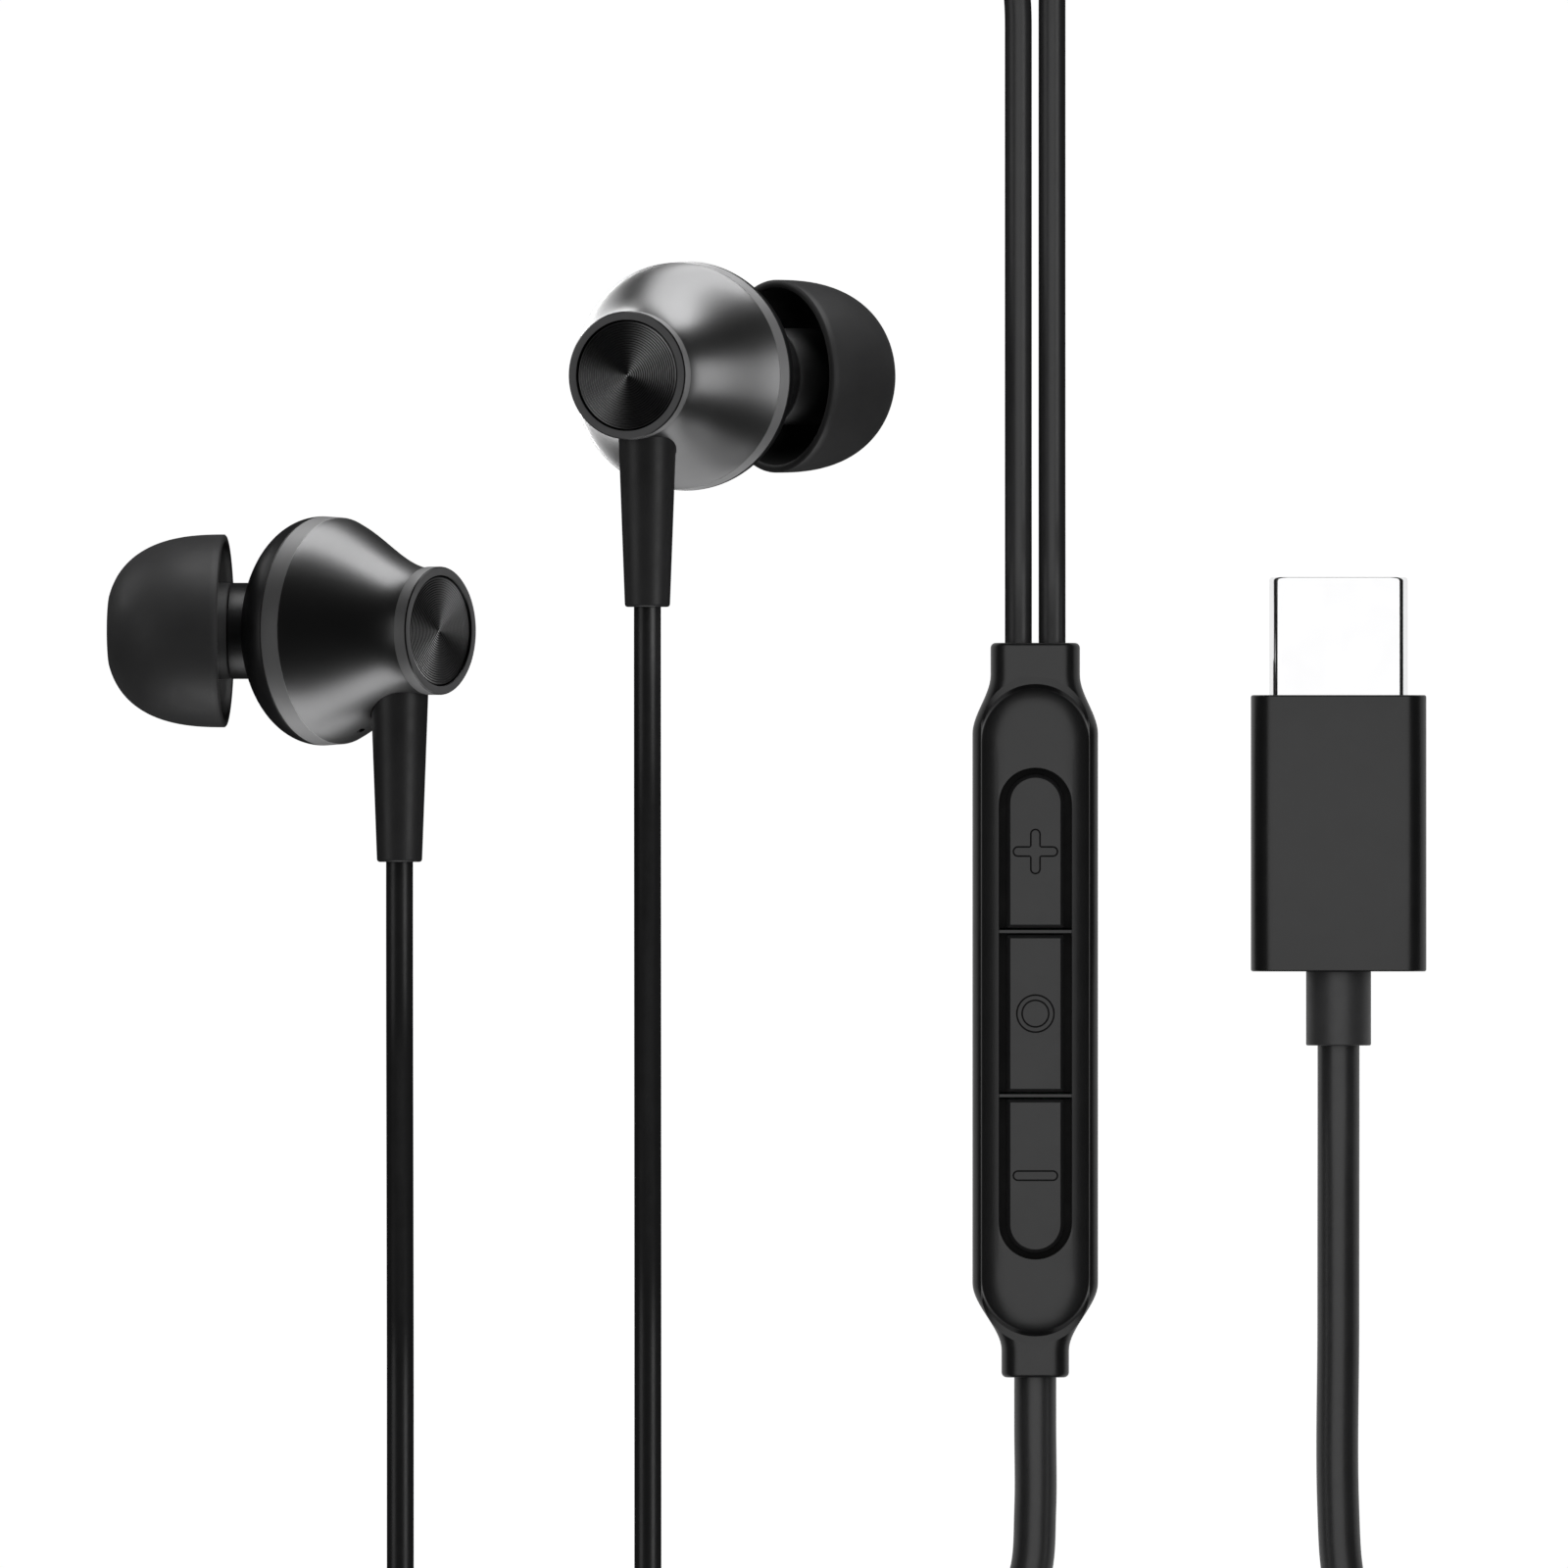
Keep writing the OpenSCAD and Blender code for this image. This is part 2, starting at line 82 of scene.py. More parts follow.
def placeCamera(settings):
    camera = addObject("planCamera", bpy.data.cameras.new("planCamera"))
    camera.data.lens = settings["lens"]
    camera.data.sensor_width = settings["sensor"]
    camera.data.clip_start, camera.data.clip_end = settings["clip"]
    distance = settings["fieldWidth"] * settings["lens"] / settings["sensor"]
    camera.location = Vector(settings["aim"]) + Vector((0, 0, distance))
    bpy.context.scene.camera = camera


placeCamera(cameraSettings)
print("camera placed")

# Cords: every route point is in metres
cordSettings = {
    "earDiameter": 0.0016,
    "mainDiameter": 0.0025,
    "earLength": 0.31,
    "mainLength": 0.79,
    "roundness": 8,  # steps round half of a cord
    "straight": 4,  # segments this close in direction, in degrees, are one run
    "handle": 0.34,  # share of a segment that each handle takes
}
leftRoute = [
    (-0.012, -0.0025, 0.0092), (-0.012, -0.007, 0.0092), (-0.012, -0.014, 0.0076),
    (-0.012, -0.022, 0.0044), (-0.012, -0.029, 0.002), (-0.012, -0.036, 0.0009),
    (-0.012, -0.043, 0.0008), (-0.012, -0.049, 0.0008), (-0.0132, -0.0536, 0.0008),
    (-0.0164, -0.0564, 0.0008), (-0.021, -0.057, 0.0008), (-0.032, -0.057, 0.0008),
    (-0.0385, -0.0552, 0.0008), (-0.0424, -0.0504, 0.0008), (-0.0435, -0.044, 0.0008),
    (-0.0435, -0.016, 0.0008), (-0.0435, 0.012, 0.0008), (-0.0435, 0.04, 0.0008),
    (-0.0424, 0.0524, 0.0008), (-0.038, 0.0582, 0.0008), (-0.032, 0.06, 0.0008),
    (-0.012, 0.06, 0.0008), (0.006, 0.06, 0.0008), (0.017, 0.06, 0.0008),
    (0.0224, 0.0586, 0.0008), (0.0258, 0.0548, 0.0008), (0.0267, 0.0496, 0.0008),
    (0.0267, 0.036, 0.0008), (0.0267, 0.023, 0.0008), (0.0267, 0.018, 0.0013),
    (0.0267, 0.0145, 0.00195), (0.0267, 0.0105, 0.00195),
]
rightRoute = [
    (0.0027, 0.0126, 0.0142), (0.0027, 0.008, 0.0142), (0.0027, 0, 0.0124),
    (0.0027, -0.008, 0.0094), (0.0027, -0.016, 0.006), (0.0027, -0.024, 0.003),
    (0.0027, -0.032, 0.0012), (0.0027, -0.039, 0.0008), (0.0027, -0.045, 0.0008),
    (0.0015, -0.0486, 0.0008), (-0.0018, -0.0508, 0.0009), (-0.0065, -0.051, 0.0017),
    (-0.012, -0.051, 0.0025), (-0.0175, -0.051, 0.0017), (-0.023, -0.051, 0.0009),
    (-0.03, -0.051, 0.0008), (-0.0354, -0.0494, 0.0008), (-0.0386, -0.045, 0.0008),
    (-0.0395, -0.039, 0.0008), (-0.0395, -0.014, 0.0008), (-0.0395, 0.012, 0.0008),
    (-0.0395, 0.038, 0.0008), (-0.0384, 0.0492, 0.0008), (-0.0348, 0.054, 0.0008),
    (-0.029, 0.0558, 0.0008), (-0.012, 0.0558, 0.0008), (0.006, 0.0558, 0.0008),
    (0.0165, 0.0558, 0.0008), (0.0212, 0.0546, 0.0008), (0.024, 0.0514, 0.0008),
    (0.0247, 0.047, 0.0008), (0.0247, 0.035, 0.0008), (0.0247, 0.023, 0.0008),
    (0.0247, 0.018, 0.0013), (0.0247, 0.0145, 0.00195), (0.0247, 0.0105, 0.00195),
]
mainTopRoute = [
    (0.0257, -0.0331, 0.00195), (0.0257, -0.036, 0.00195), (0.0257, -0.041, 0.0013),
    (0.0254, -0.0448, 0.0013), (0.0242, -0.0476, 0.0014), (0.0222, -0.0501, 0.0016),
    (0.02, -0.0526, 0.00165), (0.0178, -0.0552, 0.00165),
]
mainEndRoute = [
    (0.0505, -0.0587, 0.00415), (0.0486, -0.0551, 0.0034), (0.0467, -0.0517, 0.0025),
    (0.045, -0.0484, 0.0017), (0.044, -0.045, 0.0013), (0.0437, -0.041, 0.00125),
    (0.0437, -0.03, 0.00125), (0.0437, -0.024, 0.0017), (0.0437, -0.0175, 0.0028),
    (0.0437, -0.0134, 0.0028),
]
coilSettings = {
    "centre": (0.033, -0.068),
    "middleRadius": 0.009855,  # of the innermost turn, halfway along the coil
    "pitch": 0.0026,
    "turns": 7.689,
    "startAngle": 140,
    "lowZ": 0.00165,  # the first layer winds inwards
    "highZ": 0.00415,  # the second winds back out on top of it
    "climb": 0.15,  # share of a turn in which the cord steps up, each way
    "pointsPerTurn": 16,
}


def coilPoints(coil):
    half = coil["turns"] / 2
    steps = round(coil["turns"] * coil["pointsPerTurn"])
    points = []
    for step in range(1, steps):
        turn = coil["turns"] * step / steps
        radius = coil["middleRadius"] + coil["pitch"] * abs(turn - half)
        lift = smoothStep((turn - half + coil["climb"]) / (2 * coil["climb"]))
        angle = math.radians(coil["startAngle"] + 360 * turn)
        points.append((
            coil["centre"][0] + radius * math.cos(angle),
            coil["centre"][1] + radius * math.sin(angle),
            coil["lowZ"] + (coil["highZ"] - coil["lowZ"]) * lift,
        ))
    return points


# Directions at a route's points: a straight run stays straight right up to its ends
def routeWays(places):
    steps = [(b - a).normalized() for a, b in zip(places, places[1:])]
    straight = math.radians(cordSettings["straight"])
    last = len(steps) - 1
    ways = []
    for i in range(len(places)):
        before, after = steps[max(0, i - 1)], steps[min(i, last)]
        way = (before + after).normalized()
        if i > 1 and before.angle(steps[i - 2]) < straight:
            way = before
        elif i < last and after.angle(steps[i + 1]) < straight:
            way = after
        ways.append(way)
    return ways


def makeCord(name, points, diameter):
    curve = bpy.data.curves.new(name, "CURVE")
    curve.dimensions = "3D"
    curve.bevel_depth = 1  # each knot's radius sets the thickness
    curve.bevel_resolution = cordSettings["roundness"]
    curve.resolution_u = 10
    curve.use_fill_caps = True
    spline = curve.splines.new("BEZIER")
    spline.bezier_points.add(len(points) - 1)
    places = [Vector(point) for point in points]
    ways = routeWays(places)
    last = len(places) - 1
    for i, knot in enumerate(spline.bezier_points):
        before = (places[i] - places[max(0, i - 1)]).length
        after = (places[min(i + 1, last)] - places[i]).length
        knot.co = places[i]
        knot.radius = diameter / 2
        knot.handle_left_type = knot.handle_right_type = "FREE"
        knot.handle_left = places[i] - ways[i] * cordSettings["handle"] * (before or after)
        knot.handle_right = places[i] + ways[i] * cordSettings["handle"] * (after or before)
    piece = addObject(name, curve)
    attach(piece, mainBody)
    return piece


leftEarCord = makeCord("leftEarCord", leftRoute, cordSettings["earDiameter"])
rightEarCord = makeCord("rightEarCord", rightRoute, cordSettings["earDiameter"])
mainRoute = mainTopRoute + coilPoints(coilSettings) + mainEndRoute
mainCord = makeCord("mainCord", mainRoute, cordSettings["mainDiameter"])
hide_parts("left_cord")
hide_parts("right_cord")
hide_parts("main_cord_top", "main_coil", "main_cord_end")
print("cords laid")

# Finishes: each one is a dictionary, read by one builder
# mottle, smudge and grain are sizes in metres; depth is how deep the grain is


def feed(tree, socket, value):
    if isinstance(value, bpy.types.NodeSocket):
        tree.links.new(value, socket)
    else:
        socket.default_value = value


def addNode(tree, kind, inputs=None, **fields):
    node = tree.nodes.new(kind)
    for field, value in fields.items():
        setattr(node, field, value)
    for socket, value in (inputs or {}).items():
        feed(tree, node.inputs[socket], value)
    return node


def noiseOf(tree, vector, size, detail=3.0, distortion=0.0):
    values = {"Vector": vector, "Scale": 1 / size, "Detail": detail, "Distortion": distortion}
    return addNode(tree, "ShaderNodeTexNoise", values).outputs["Fac"]


def spread(tree, value, low, high, fromLow=0.3, fromHigh=0.7):
    values = {"Value": value, "From Min": fromLow, "From Max": fromHigh,
              "To Min": low, "To Max": high}
    return addNode(tree, "ShaderNodeMapRange", values).outputs["Result"]


def blendColours(tree, share, first, second):
    node = addNode(tree, "ShaderNodeMix", data_type="RGBA")
    tree.links.new(share, node.inputs[0])
    for socket, value in ((node.inputs[6], first), (node.inputs[7], second)):
        feed(tree, socket, (*value, 1) if isinstance(value, tuple) else value)
    return node.outputs[2]


def mathOf(tree, operation, *values):
    node = addNode(tree, "ShaderNodeMath", operation=operation)
    for socket, value in zip(node.inputs, values):
        feed(tree, socket, value)
    return node.outputs[0]


def makeFinish(name, look):
    material = bpy.data.materials.new(name)
    material.use_nodes = True
    tree = material.node_tree
    shader = tree.nodes["Principled BSDF"]
    coords = addNode(tree, "ShaderNodeTexCoord").outputs["Object"]
    drawn = addNode(tree, "ShaderNodeMapping",
                    {"Vector": coords, "Scale": look.get("drawn", (1, 1, 1))}).outputs[0]

    # colour: a slow mottle, then paler rubbed edges; turned discs also get painted highlight rays and
    # painted shade in their grooves
    mottle = noiseOf(tree, coords, look["mottle"], 4, 0.4)
    colour = blendColours(tree, spread(tree, mottle, 0, 1), look["base"], look["shade"])
    if look.get("rub"):
        edge = addNode(tree, "ShaderNodeNewGeometry").outputs["Pointiness"]
        patches = noiseOf(tree, coords, look["mottle"] / 4, 5)
        share = mathOf(tree, "MULTIPLY", spread(tree, edge, 0, look["rub"], 0.52, 0.62),
                       spread(tree, patches, 0.2, 1))
        colour = blendColours(tree, share, colour, look["rubbed"])
    if look.get("stripes"):
        colour = stripesOn(tree, coords, colour, look["stripes"])
    # painted highlight rays and painted groove shade for the turned disc
    if look.get("paintedHighlightRays"):
        colour = paintHighlightsAndGrooveShadeOn(tree, coords, colour, look)
    tree.links.new(colour, shader.inputs["Base Color"])

    # roughness: handling smudges over the moulded or turned finish
    smudge = noiseOf(tree, drawn, look["smudge"], 5, 0.6)
    tree.links.new(spread(tree, smudge, *look["rough"]), shader.inputs["Roughness"])

    # relief: coarse grain with a finer one in it
    coarse = noiseOf(tree, drawn, look["grain"], 3)
    fine = noiseOf(tree, drawn, look["grain"] / 4, 2)
    height = mathOf(tree, "MULTIPLY_ADD", fine, 0.4, coarse)
    bump = addNode(tree, "ShaderNodeBump",
                   {"Strength": 1, "Distance": look["depth"], "Height": height})
    tree.links.new(bump.outputs["Normal"], shader.inputs["Normal"])

    shader.inputs["Metallic"].default_value = look.get("metal", 0)
    shader.inputs["Specular IOR Level"].default_value = look.get("specular", 0.5)
    shader.inputs["Coat Weight"].default_value = look.get("coat", 0)
    shader.inputs["Coat Roughness"].default_value = 0.1
    shader.inputs["Sheen Weight"].default_value = look.get("sheen", 0)
    shader.inputs["Sheen Roughness"].default_value = 0.5
    if look.get("spun"):
        shader.inputs["Anisotropic"].default_value = look["spun"]
        tangent = addNode(tree, "ShaderNodeTangent", direction_type="RADIAL", axis="Z")
        tree.links.new(tangent.outputs[0], shader.inputs["Tangent"])
    return material


# Lines a set distance apart along one axis, such as windings or board tracks
def stripesOn(tree, coords, colour, stripes):
    along = addNode(tree, "ShaderNodeSeparateXYZ", {"Vector": coords}).outputs[stripes["axis"]]
    wave = mathOf(tree, "SINE", mathOf(tree, "MULTIPLY", along, 2 * math.pi / stripes["pitch"]))
    return blendColours(tree, spread(tree, wave, 0, 1, 0.2, 0.6), colour, stripes["colour"])


# Painted highlights: pairs of bright rays from the middle, where a turned disc would reflect the
# lamps, then fine dark rings as painted shade in its grooves
def paintHighlightsAndGrooveShadeOn(tree, coords, colour, look):
    across = addNode(tree, "ShaderNodeSeparateXYZ", {"Vector": coords}).outputs
    angle = mathOf(tree, "ARCTAN2", across["Y"], across["X"])
    highlightShare = 0.0
    for degrees, strength, narrowness in look["paintedHighlightRays"]:
        turned = mathOf(tree, "SUBTRACT", angle, math.radians(degrees))
        lobe = mathOf(tree, "POWER", mathOf(tree, "ABSOLUTE", mathOf(tree, "COSINE", turned)),
                      narrowness)
        highlightShare = mathOf(tree, "MULTIPLY_ADD", lobe, strength, highlightShare)
    # painted highlight: the pale colour is mixed in along the rays
    colour = blendColours(tree, highlightShare, colour, look["paintedHighlightColour"])
    rings = look["rings"]
    square = mathOf(tree, "MULTIPLY_ADD", across["X"], across["X"],
                    mathOf(tree, "MULTIPLY", across["Y"], across["Y"]))
    radius = mathOf(tree, "SUBTRACT", mathOf(tree, "SQRT", square), rings["start"])
    # painted shade: fine dark rings along the grooves
    wave = mathOf(tree, "SINE", mathOf(tree, "MULTIPLY", radius, 2 * math.pi / rings["pitch"]))
    return blendColours(tree, spread(tree, wave, 0, 0.85, -0.2, 0.8), colour, rings["colour"])


finishes = {
    "silicone": {
        "base": (0.04, 0.04, 0.041), "shade": (0.045, 0.045, 0.046), "mottle": 0.0024,
        "rough": (0.46, 0.56), "smudge": 0.0016, "grain": 0.00011, "depth": 0.0000007,
        "specular": 0.42, "sheen": 0.05,
    },
    "housing_plastic": {
        "base": (0.012, 0.012, 0.013), "shade": (0.016, 0.016, 0.017), "mottle": 0.002,
        "rough": (0.36, 0.44), "smudge": 0.0014, "grain": 0.00009, "depth": 0.0000012,
        "rub": 0.12, "rubbed": (0.07, 0.07, 0.072),
    },
    "housing_metal": {
        "base": (0.25, 0.25, 0.253), "shade": (0.265, 0.265, 0.268), "mottle": 0.003,
        "rough": (0.35, 0.38), "smudge": 0.0012, "grain": 0.0003, "depth": 0.00000002,
        "metal": 1, "drawn": (1, 1, 24),
    },
    "ring_metal": {
        "base": (0.13, 0.13, 0.132), "shade": (0.14, 0.14, 0.142), "mottle": 0.0012,
        "rough": (0.3, 0.33), "smudge": 0.0006, "grain": 0.0003, "depth": 0.00000003,
        "metal": 1, "drawn": (1, 1, 20),
    },
    # the outer bands' metal: rougher, and paler than the shell metal as painted light
    "painted_lit_band_metal": {
        "base": (0.55, 0.55, 0.555), "shade": (0.57, 0.57, 0.575), "mottle": 0.003,
        "rough": (0.54, 0.6), "smudge": 0.0012, "grain": 0.0003, "depth": 0.00000003,
        "metal": 1, "drawn": (1, 1, 24),
    },
    "spun_disc": {
        "base": (0.045, 0.045, 0.046), "shade": (0.055, 0.055, 0.056), "mottle": 0.001,
        "rough": (0.3, 0.34), "smudge": 0.0005, "grain": 0.0002, "depth": 0.00000005,
        "metal": 1, "spun": 0.3,
        # each pair is a painted highlight streak through the middle of the disc
        "paintedHighlightRays": ((46, 1.0, 9), (4, 0.6, 14)),  # angle, strength and narrowness of each pair
        "paintedHighlightColour": (0.9, 0.9, 0.905),
        # the rings are painted shade in the grooves
        "rings": {"pitch": 0.0001438, "start": 0.00012, "colour": (0.015, 0.015, 0.015)},
    },
    "mesh_metal": {
        "base": (0.3, 0.3, 0.3), "shade": (0.4, 0.39, 0.38), "mottle": 0.0003,
        "rough": (0.3, 0.45), "smudge": 0.0002, "grain": 0.00005, "depth": 0.000002, "metal": 1,
    },
    "vent_cloth": {
        "base": (0.015, 0.015, 0.016), "shade": (0.04, 0.04, 0.042), "mottle": 0.00006,
        "rough": (0.7, 0.9), "smudge": 0.0001, "grain": 0.00003, "depth": 0.000006,
        "sheen": 0.2,
    },
    "stem_rubber": {
        "base": (0.038, 0.038, 0.039), "shade": (0.043, 0.043, 0.044), "mottle": 0.0018,
        "rough": (0.38, 0.46), "smudge": 0.0012, "grain": 0.00008, "depth": 0.0000008,
        "specular": 0.45, "rub": 0.1, "rubbed": (0.055, 0.055, 0.056),
    },
    "cord_jacket": {
        "base": (0.018, 0.018, 0.0185), "shade": (0.021, 0.021, 0.0215), "mottle": 0.0022,
        "rough": (0.32, 0.38), "smudge": 0.0009, "grain": 0.00012, "depth": 0.0000008,
    },
    "frame_plastic": {
        "base": (0.03, 0.03, 0.032), "shade": (0.05, 0.05, 0.052), "mottle": 0.0012,
        "rough": (0.4, 0.55), "smudge": 0.0008, "grain": 0.0001, "depth": 0.000003,
        "rub": 0.3, "rubbed": (0.1, 0.1, 0.1),
    },
    "film": {
        "base": (0.42, 0.33, 0.18), "shade": (0.5, 0.41, 0.25), "mottle": 0.001,
        "rough": (0.16, 0.28), "smudge": 0.0007, "grain": 0.0003, "depth": 0.000002,
        "coat": 0.6,
    },
    "copper": {
        "base": (0.6, 0.22, 0.1), "shade": (0.72, 0.3, 0.14), "mottle": 0.0004,
        "rough": (0.22, 0.36), "smudge": 0.0003, "grain": 0.00006, "depth": 0.000003,
        "metal": 1, "stripes": {"axis": "Y", "pitch": 0.00008, "colour": (0.3, 0.09, 0.03)},
    },
    "plated_steel": {
        "base": (0.5, 0.5, 0.5), "shade": (0.6, 0.6, 0.58), "mottle": 0.0014,
        "rough": (0.2, 0.38), "smudge": 0.0008, "grain": 0.00015, "depth": 0.000002,
        "metal": 1, "rub": 0.4, "rubbed": (0.75, 0.74, 0.7),
    },
    "remote_plastic": {
        "base": (0.009, 0.009, 0.0093), "shade": (0.011, 0.011, 0.0113), "mottle": 0.0026,
        "rough": (0.3, 0.34), "smudge": 0.002, "grain": 0.0001, "depth": 0.0000006,
        "rub": 0.08, "rubbed": (0.02, 0.02, 0.021),
    },
    "key_plastic": {
        "base": (0.01, 0.01, 0.0103), "shade": (0.012, 0.012, 0.0123), "mottle": 0.002,
        "rough": (0.32, 0.37), "smudge": 0.0015, "grain": 0.00009, "depth": 0.0000006,
        "rub": 0.08, "rubbed": (0.022, 0.022, 0.023),
    },
    "board": {
        "base": (0.015, 0.11, 0.04), "shade": (0.02, 0.15, 0.06), "mottle": 0.0015,
        "rough": (0.28, 0.42), "smudge": 0.001, "grain": 0.0002, "depth": 0.000004,
        "coat": 0.4,
        "stripes": {"axis": "X", "pitch": 0.0009, "colour": (0.03, 0.24, 0.09)},
    },
    "switch_metal": {
        "base": (0.55, 0.55, 0.54), "shade": (0.65, 0.64, 0.62), "mottle": 0.0008,
        "rough": (0.22, 0.36), "smudge": 0.0005, "grain": 0.0001, "depth": 0.000002, "metal": 1,
    },
    "chip": {
        "base": (0.012, 0.012, 0.013), "shade": (0.02, 0.02, 0.021), "mottle": 0.0006,
        "rough": (0.5, 0.66), "smudge": 0.0005, "grain": 0.00006, "depth": 0.000003,
        "rub": 0.4, "rubbed": (0.09, 0.09, 0.09),
    },
    "microphone_can": {
        "base": (0.62, 0.5, 0.26), "shade": (0.7, 0.58, 0.33), "mottle": 0.0005,
        "rough": (0.24, 0.38), "smudge": 0.0004, "grain": 0.0001, "depth": 0.000002, "metal": 1,
    },
    "plug_metal": {
        "base": (0.9, 0.9, 0.905), "shade": (0.93, 0.93, 0.935), "mottle": 0.002,
        "rough": (0.08, 0.11), "smudge": 0.0012, "grain": 0.0003, "depth": 0.0000001,
        "metal": 1, "drawn": (1, 12, 1),
    },
    "contact_gold": {
        "base": (0.85, 0.58, 0.2), "shade": (0.9, 0.66, 0.28), "mottle": 0.0004,
        "rough": (0.18, 0.3), "smudge": 0.0003, "grain": 0.00008, "depth": 0.000001,
        "metal": 1, "drawn": (4, 1, 1),
    },
    "plug_plastic": {
        "base": (0.009, 0.009, 0.0093), "shade": (0.011, 0.011, 0.0113), "mottle": 0.0024,
        "rough": (0.28, 0.32), "smudge": 0.0018, "grain": 0.0001, "depth": 0.0000006,
        "rub": 0.08, "rubbed": (0.02, 0.02, 0.021),
    },
    "tie_rubber": {
        "base": (0.045, 0.045, 0.047), "shade": (0.06, 0.06, 0.062), "mottle": 0.0015,
        "rough": (0.5, 0.64), "smudge": 0.001, "grain": 0.00012, "depth": 0.000004,
        "rub": 0.3, "rubbed": (0.12, 0.12, 0.12),
    },
}
materials = {name: makeFinish(name, look) for name, look in finishes.items()}
# painted shade: a darker, matte copy of the key plastic for the cut symbol lines and the flanges under
# the panel
shadedKeyLook = dict(finishes["key_plastic"], base=(0.003, 0.003, 0.003), shade=(0.005, 0.005, 0.005),
                rough=(0.7, 0.8), rub=0, specular=0.2)
materials["shaded_key_plastic"] = makeFinish("shaded_key_plastic", shadedKeyLook)
for cord in (leftEarCord, rightEarCord, mainCord):
    cord.data.materials.append(materials["cord_jacket"])
print("finishes made:", len(materials))

# Shape tools: they take millimetres


def makePiece(name, points, faces, finish, matrix=None, sharp=32):
    mesh = bpy.data.meshes.new(name)
    mesh.from_pydata([Vector(point) * mm for point in points], [], faces)
    tidy = bmesh.new()
    tidy.from_mesh(mesh)
    bmesh.ops.remove_doubles(tidy, verts=tidy.verts, dist=1e-8)
    bmesh.ops.recalc_face_normals(tidy, faces=tidy.faces)
    tidy.to_mesh(mesh)
    tidy.free()
    mesh.materials.append(materials[finish])
    mesh.shade_smooth()
    mesh.set_sharp_from_angle(angle=math.radians(sharp))
    piece = addObject(name, mesh)
    piece.matrix_world = matrix or Matrix.Identity(4)
    return piece


# Joins rings of points into one skin; a ring of one point closes to a tip, and loop
# joins the last ring to the first
def skinRings(name, rings, finish, matrix=None, loop=False, sharp=32):
    points, faces, starts = [], [], []
    for ring in rings:
        starts.append(len(points))
        points += ring
    pairs = [(i, i + 1) for i in range(len(rings) - 1)]
    if loop:
        pairs.append((len(rings) - 1, 0))
    for a, b in pairs:
        count = max(len(rings[a]), len(rings[b]))
        for k in range(count if count > 1 else 0):
            after = (k + 1) % count
            corners = [starts[a] + (k if len(rings[a]) > 1 else 0),
                       starts[b] + (k if len(rings[b]) > 1 else 0),
                       starts[b] + (after if len(rings[b]) > 1 else 0),
                       starts[a] + (after if len(rings[a]) > 1 else 0)]
            faces.append(list(dict.fromkeys(corners)))
    if not loop:
        for index in (0, len(rings) - 1):
            if len(rings[index]) > 1:
                faces.append([starts[index] + k for k in range(len(rings[index]))])
    return makePiece(name, points, faces, finish, matrix, sharp)


# Turns an outline of (radius, height) round the z axis
def turnPiece(name, outline, finish, matrix=None, steps=144, loop=False, sharp=32):
    rings = []
    for radius, height in outline:
        if radius < 1e-6:
            rings.append([(0, 0, height)])
        else:
            rings.append([(radius * math.cos(2 * math.pi * k / steps),
                           radius * math.sin(2 * math.pi * k / steps), height)
                          for k in range(steps)])
    return skinRings(name, rings, finish, matrix, loop, sharp)


# Rounds an outline's corners: each point is (x, y) or (x, y, radius of its corner)
def roundCorners(outline, steps=5, closed=True):
    result = []
    count = len(outline)
    for i, point in enumerate(outline):
        here = Vector(point[:2])
        radius = point[2] if len(point) > 2 else 0
        if not radius or (not closed and i in (0, count - 1)):
            result.append(tuple(here))
            continue
        before = Vector(outline[i - 1][:2]) - here
        after = Vector(outline[(i + 1) % count][:2]) - here
        turn = before.angle(after)
        reach = min(radius / math.tan(turn / 2), 0.49 * before.length, 0.49 * after.length)
        start, end = here + before.normalized() * reach, here + after.normalized() * reach
        for k in range(steps + 1):
            t = k / steps
            result.append(tuple(start * (1 - t) ** 2 + here * 2 * t * (1 - t) + end * t * t))
    return result


def curvePoints(a, b, c, d, steps=28):
    points = []
    for k in range(steps + 1):
        t = k / steps
        weights = ((1 - t) ** 3, 3 * t * (1 - t) ** 2, 3 * t * t * (1 - t), t ** 3)
        points.append(tuple(sum(w * p[axis] for w, p in zip(weights, (a, b, c, d)))
                            for axis in (0, 1)))
    return points


def combine(piece, tool, how="DIFFERENCE", sharp=32):
    modifier = piece.modifiers.new("combine", "BOOLEAN")
    modifier.operation = how
    modifier.solver = "EXACT"
    modifier.material_mode = "TRANSFER"
    modifier.object = tool
    bpy.context.view_layer.update()
    made = piece.evaluated_get(bpy.context.evaluated_depsgraph_get())
    mesh = bpy.data.meshes.new_from_object(made)
    piece.modifiers.clear()
    piece.data = mesh
    mesh.shade_smooth()
    mesh.set_sharp_from_angle(angle=math.radians(sharp))
    bpy.data.objects.remove(tool)
    return piece


# Puts a piece's points in the layout's frame; turned metal keeps its own, for its grain
def settle(piece, body, slotName, *nodes):
    if "metal" not in slotName and slotName != "spun_disc":
        piece.data.transform(piece.matrix_world)
        piece.matrix_world = Matrix.Identity(4)
    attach(piece, body)
    if nodes:
        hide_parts(*nodes)
    return piece

# Ear pieces, each in its own frame: z runs along the housing with the cap's face
# at 0, the stem points down -y and the nozzle leans to one side
earSettings = {
    "nozzleTilt": 28.5,  # degrees between the nozzle and the housing
    "nozzleRoot": 5.7,  # behind the cap's face
    "stemLength": 13.7,
    "stemBack": 2.95,
    "lipRadius": 6.8,
    "lipBack": 8.34,
    "neckRadius": 3.7,
    "ringRadius": 3.8,
    "ringHeight": 0.85,
    "discRadius": 3.24,
    "shellWall": 0.5,
}


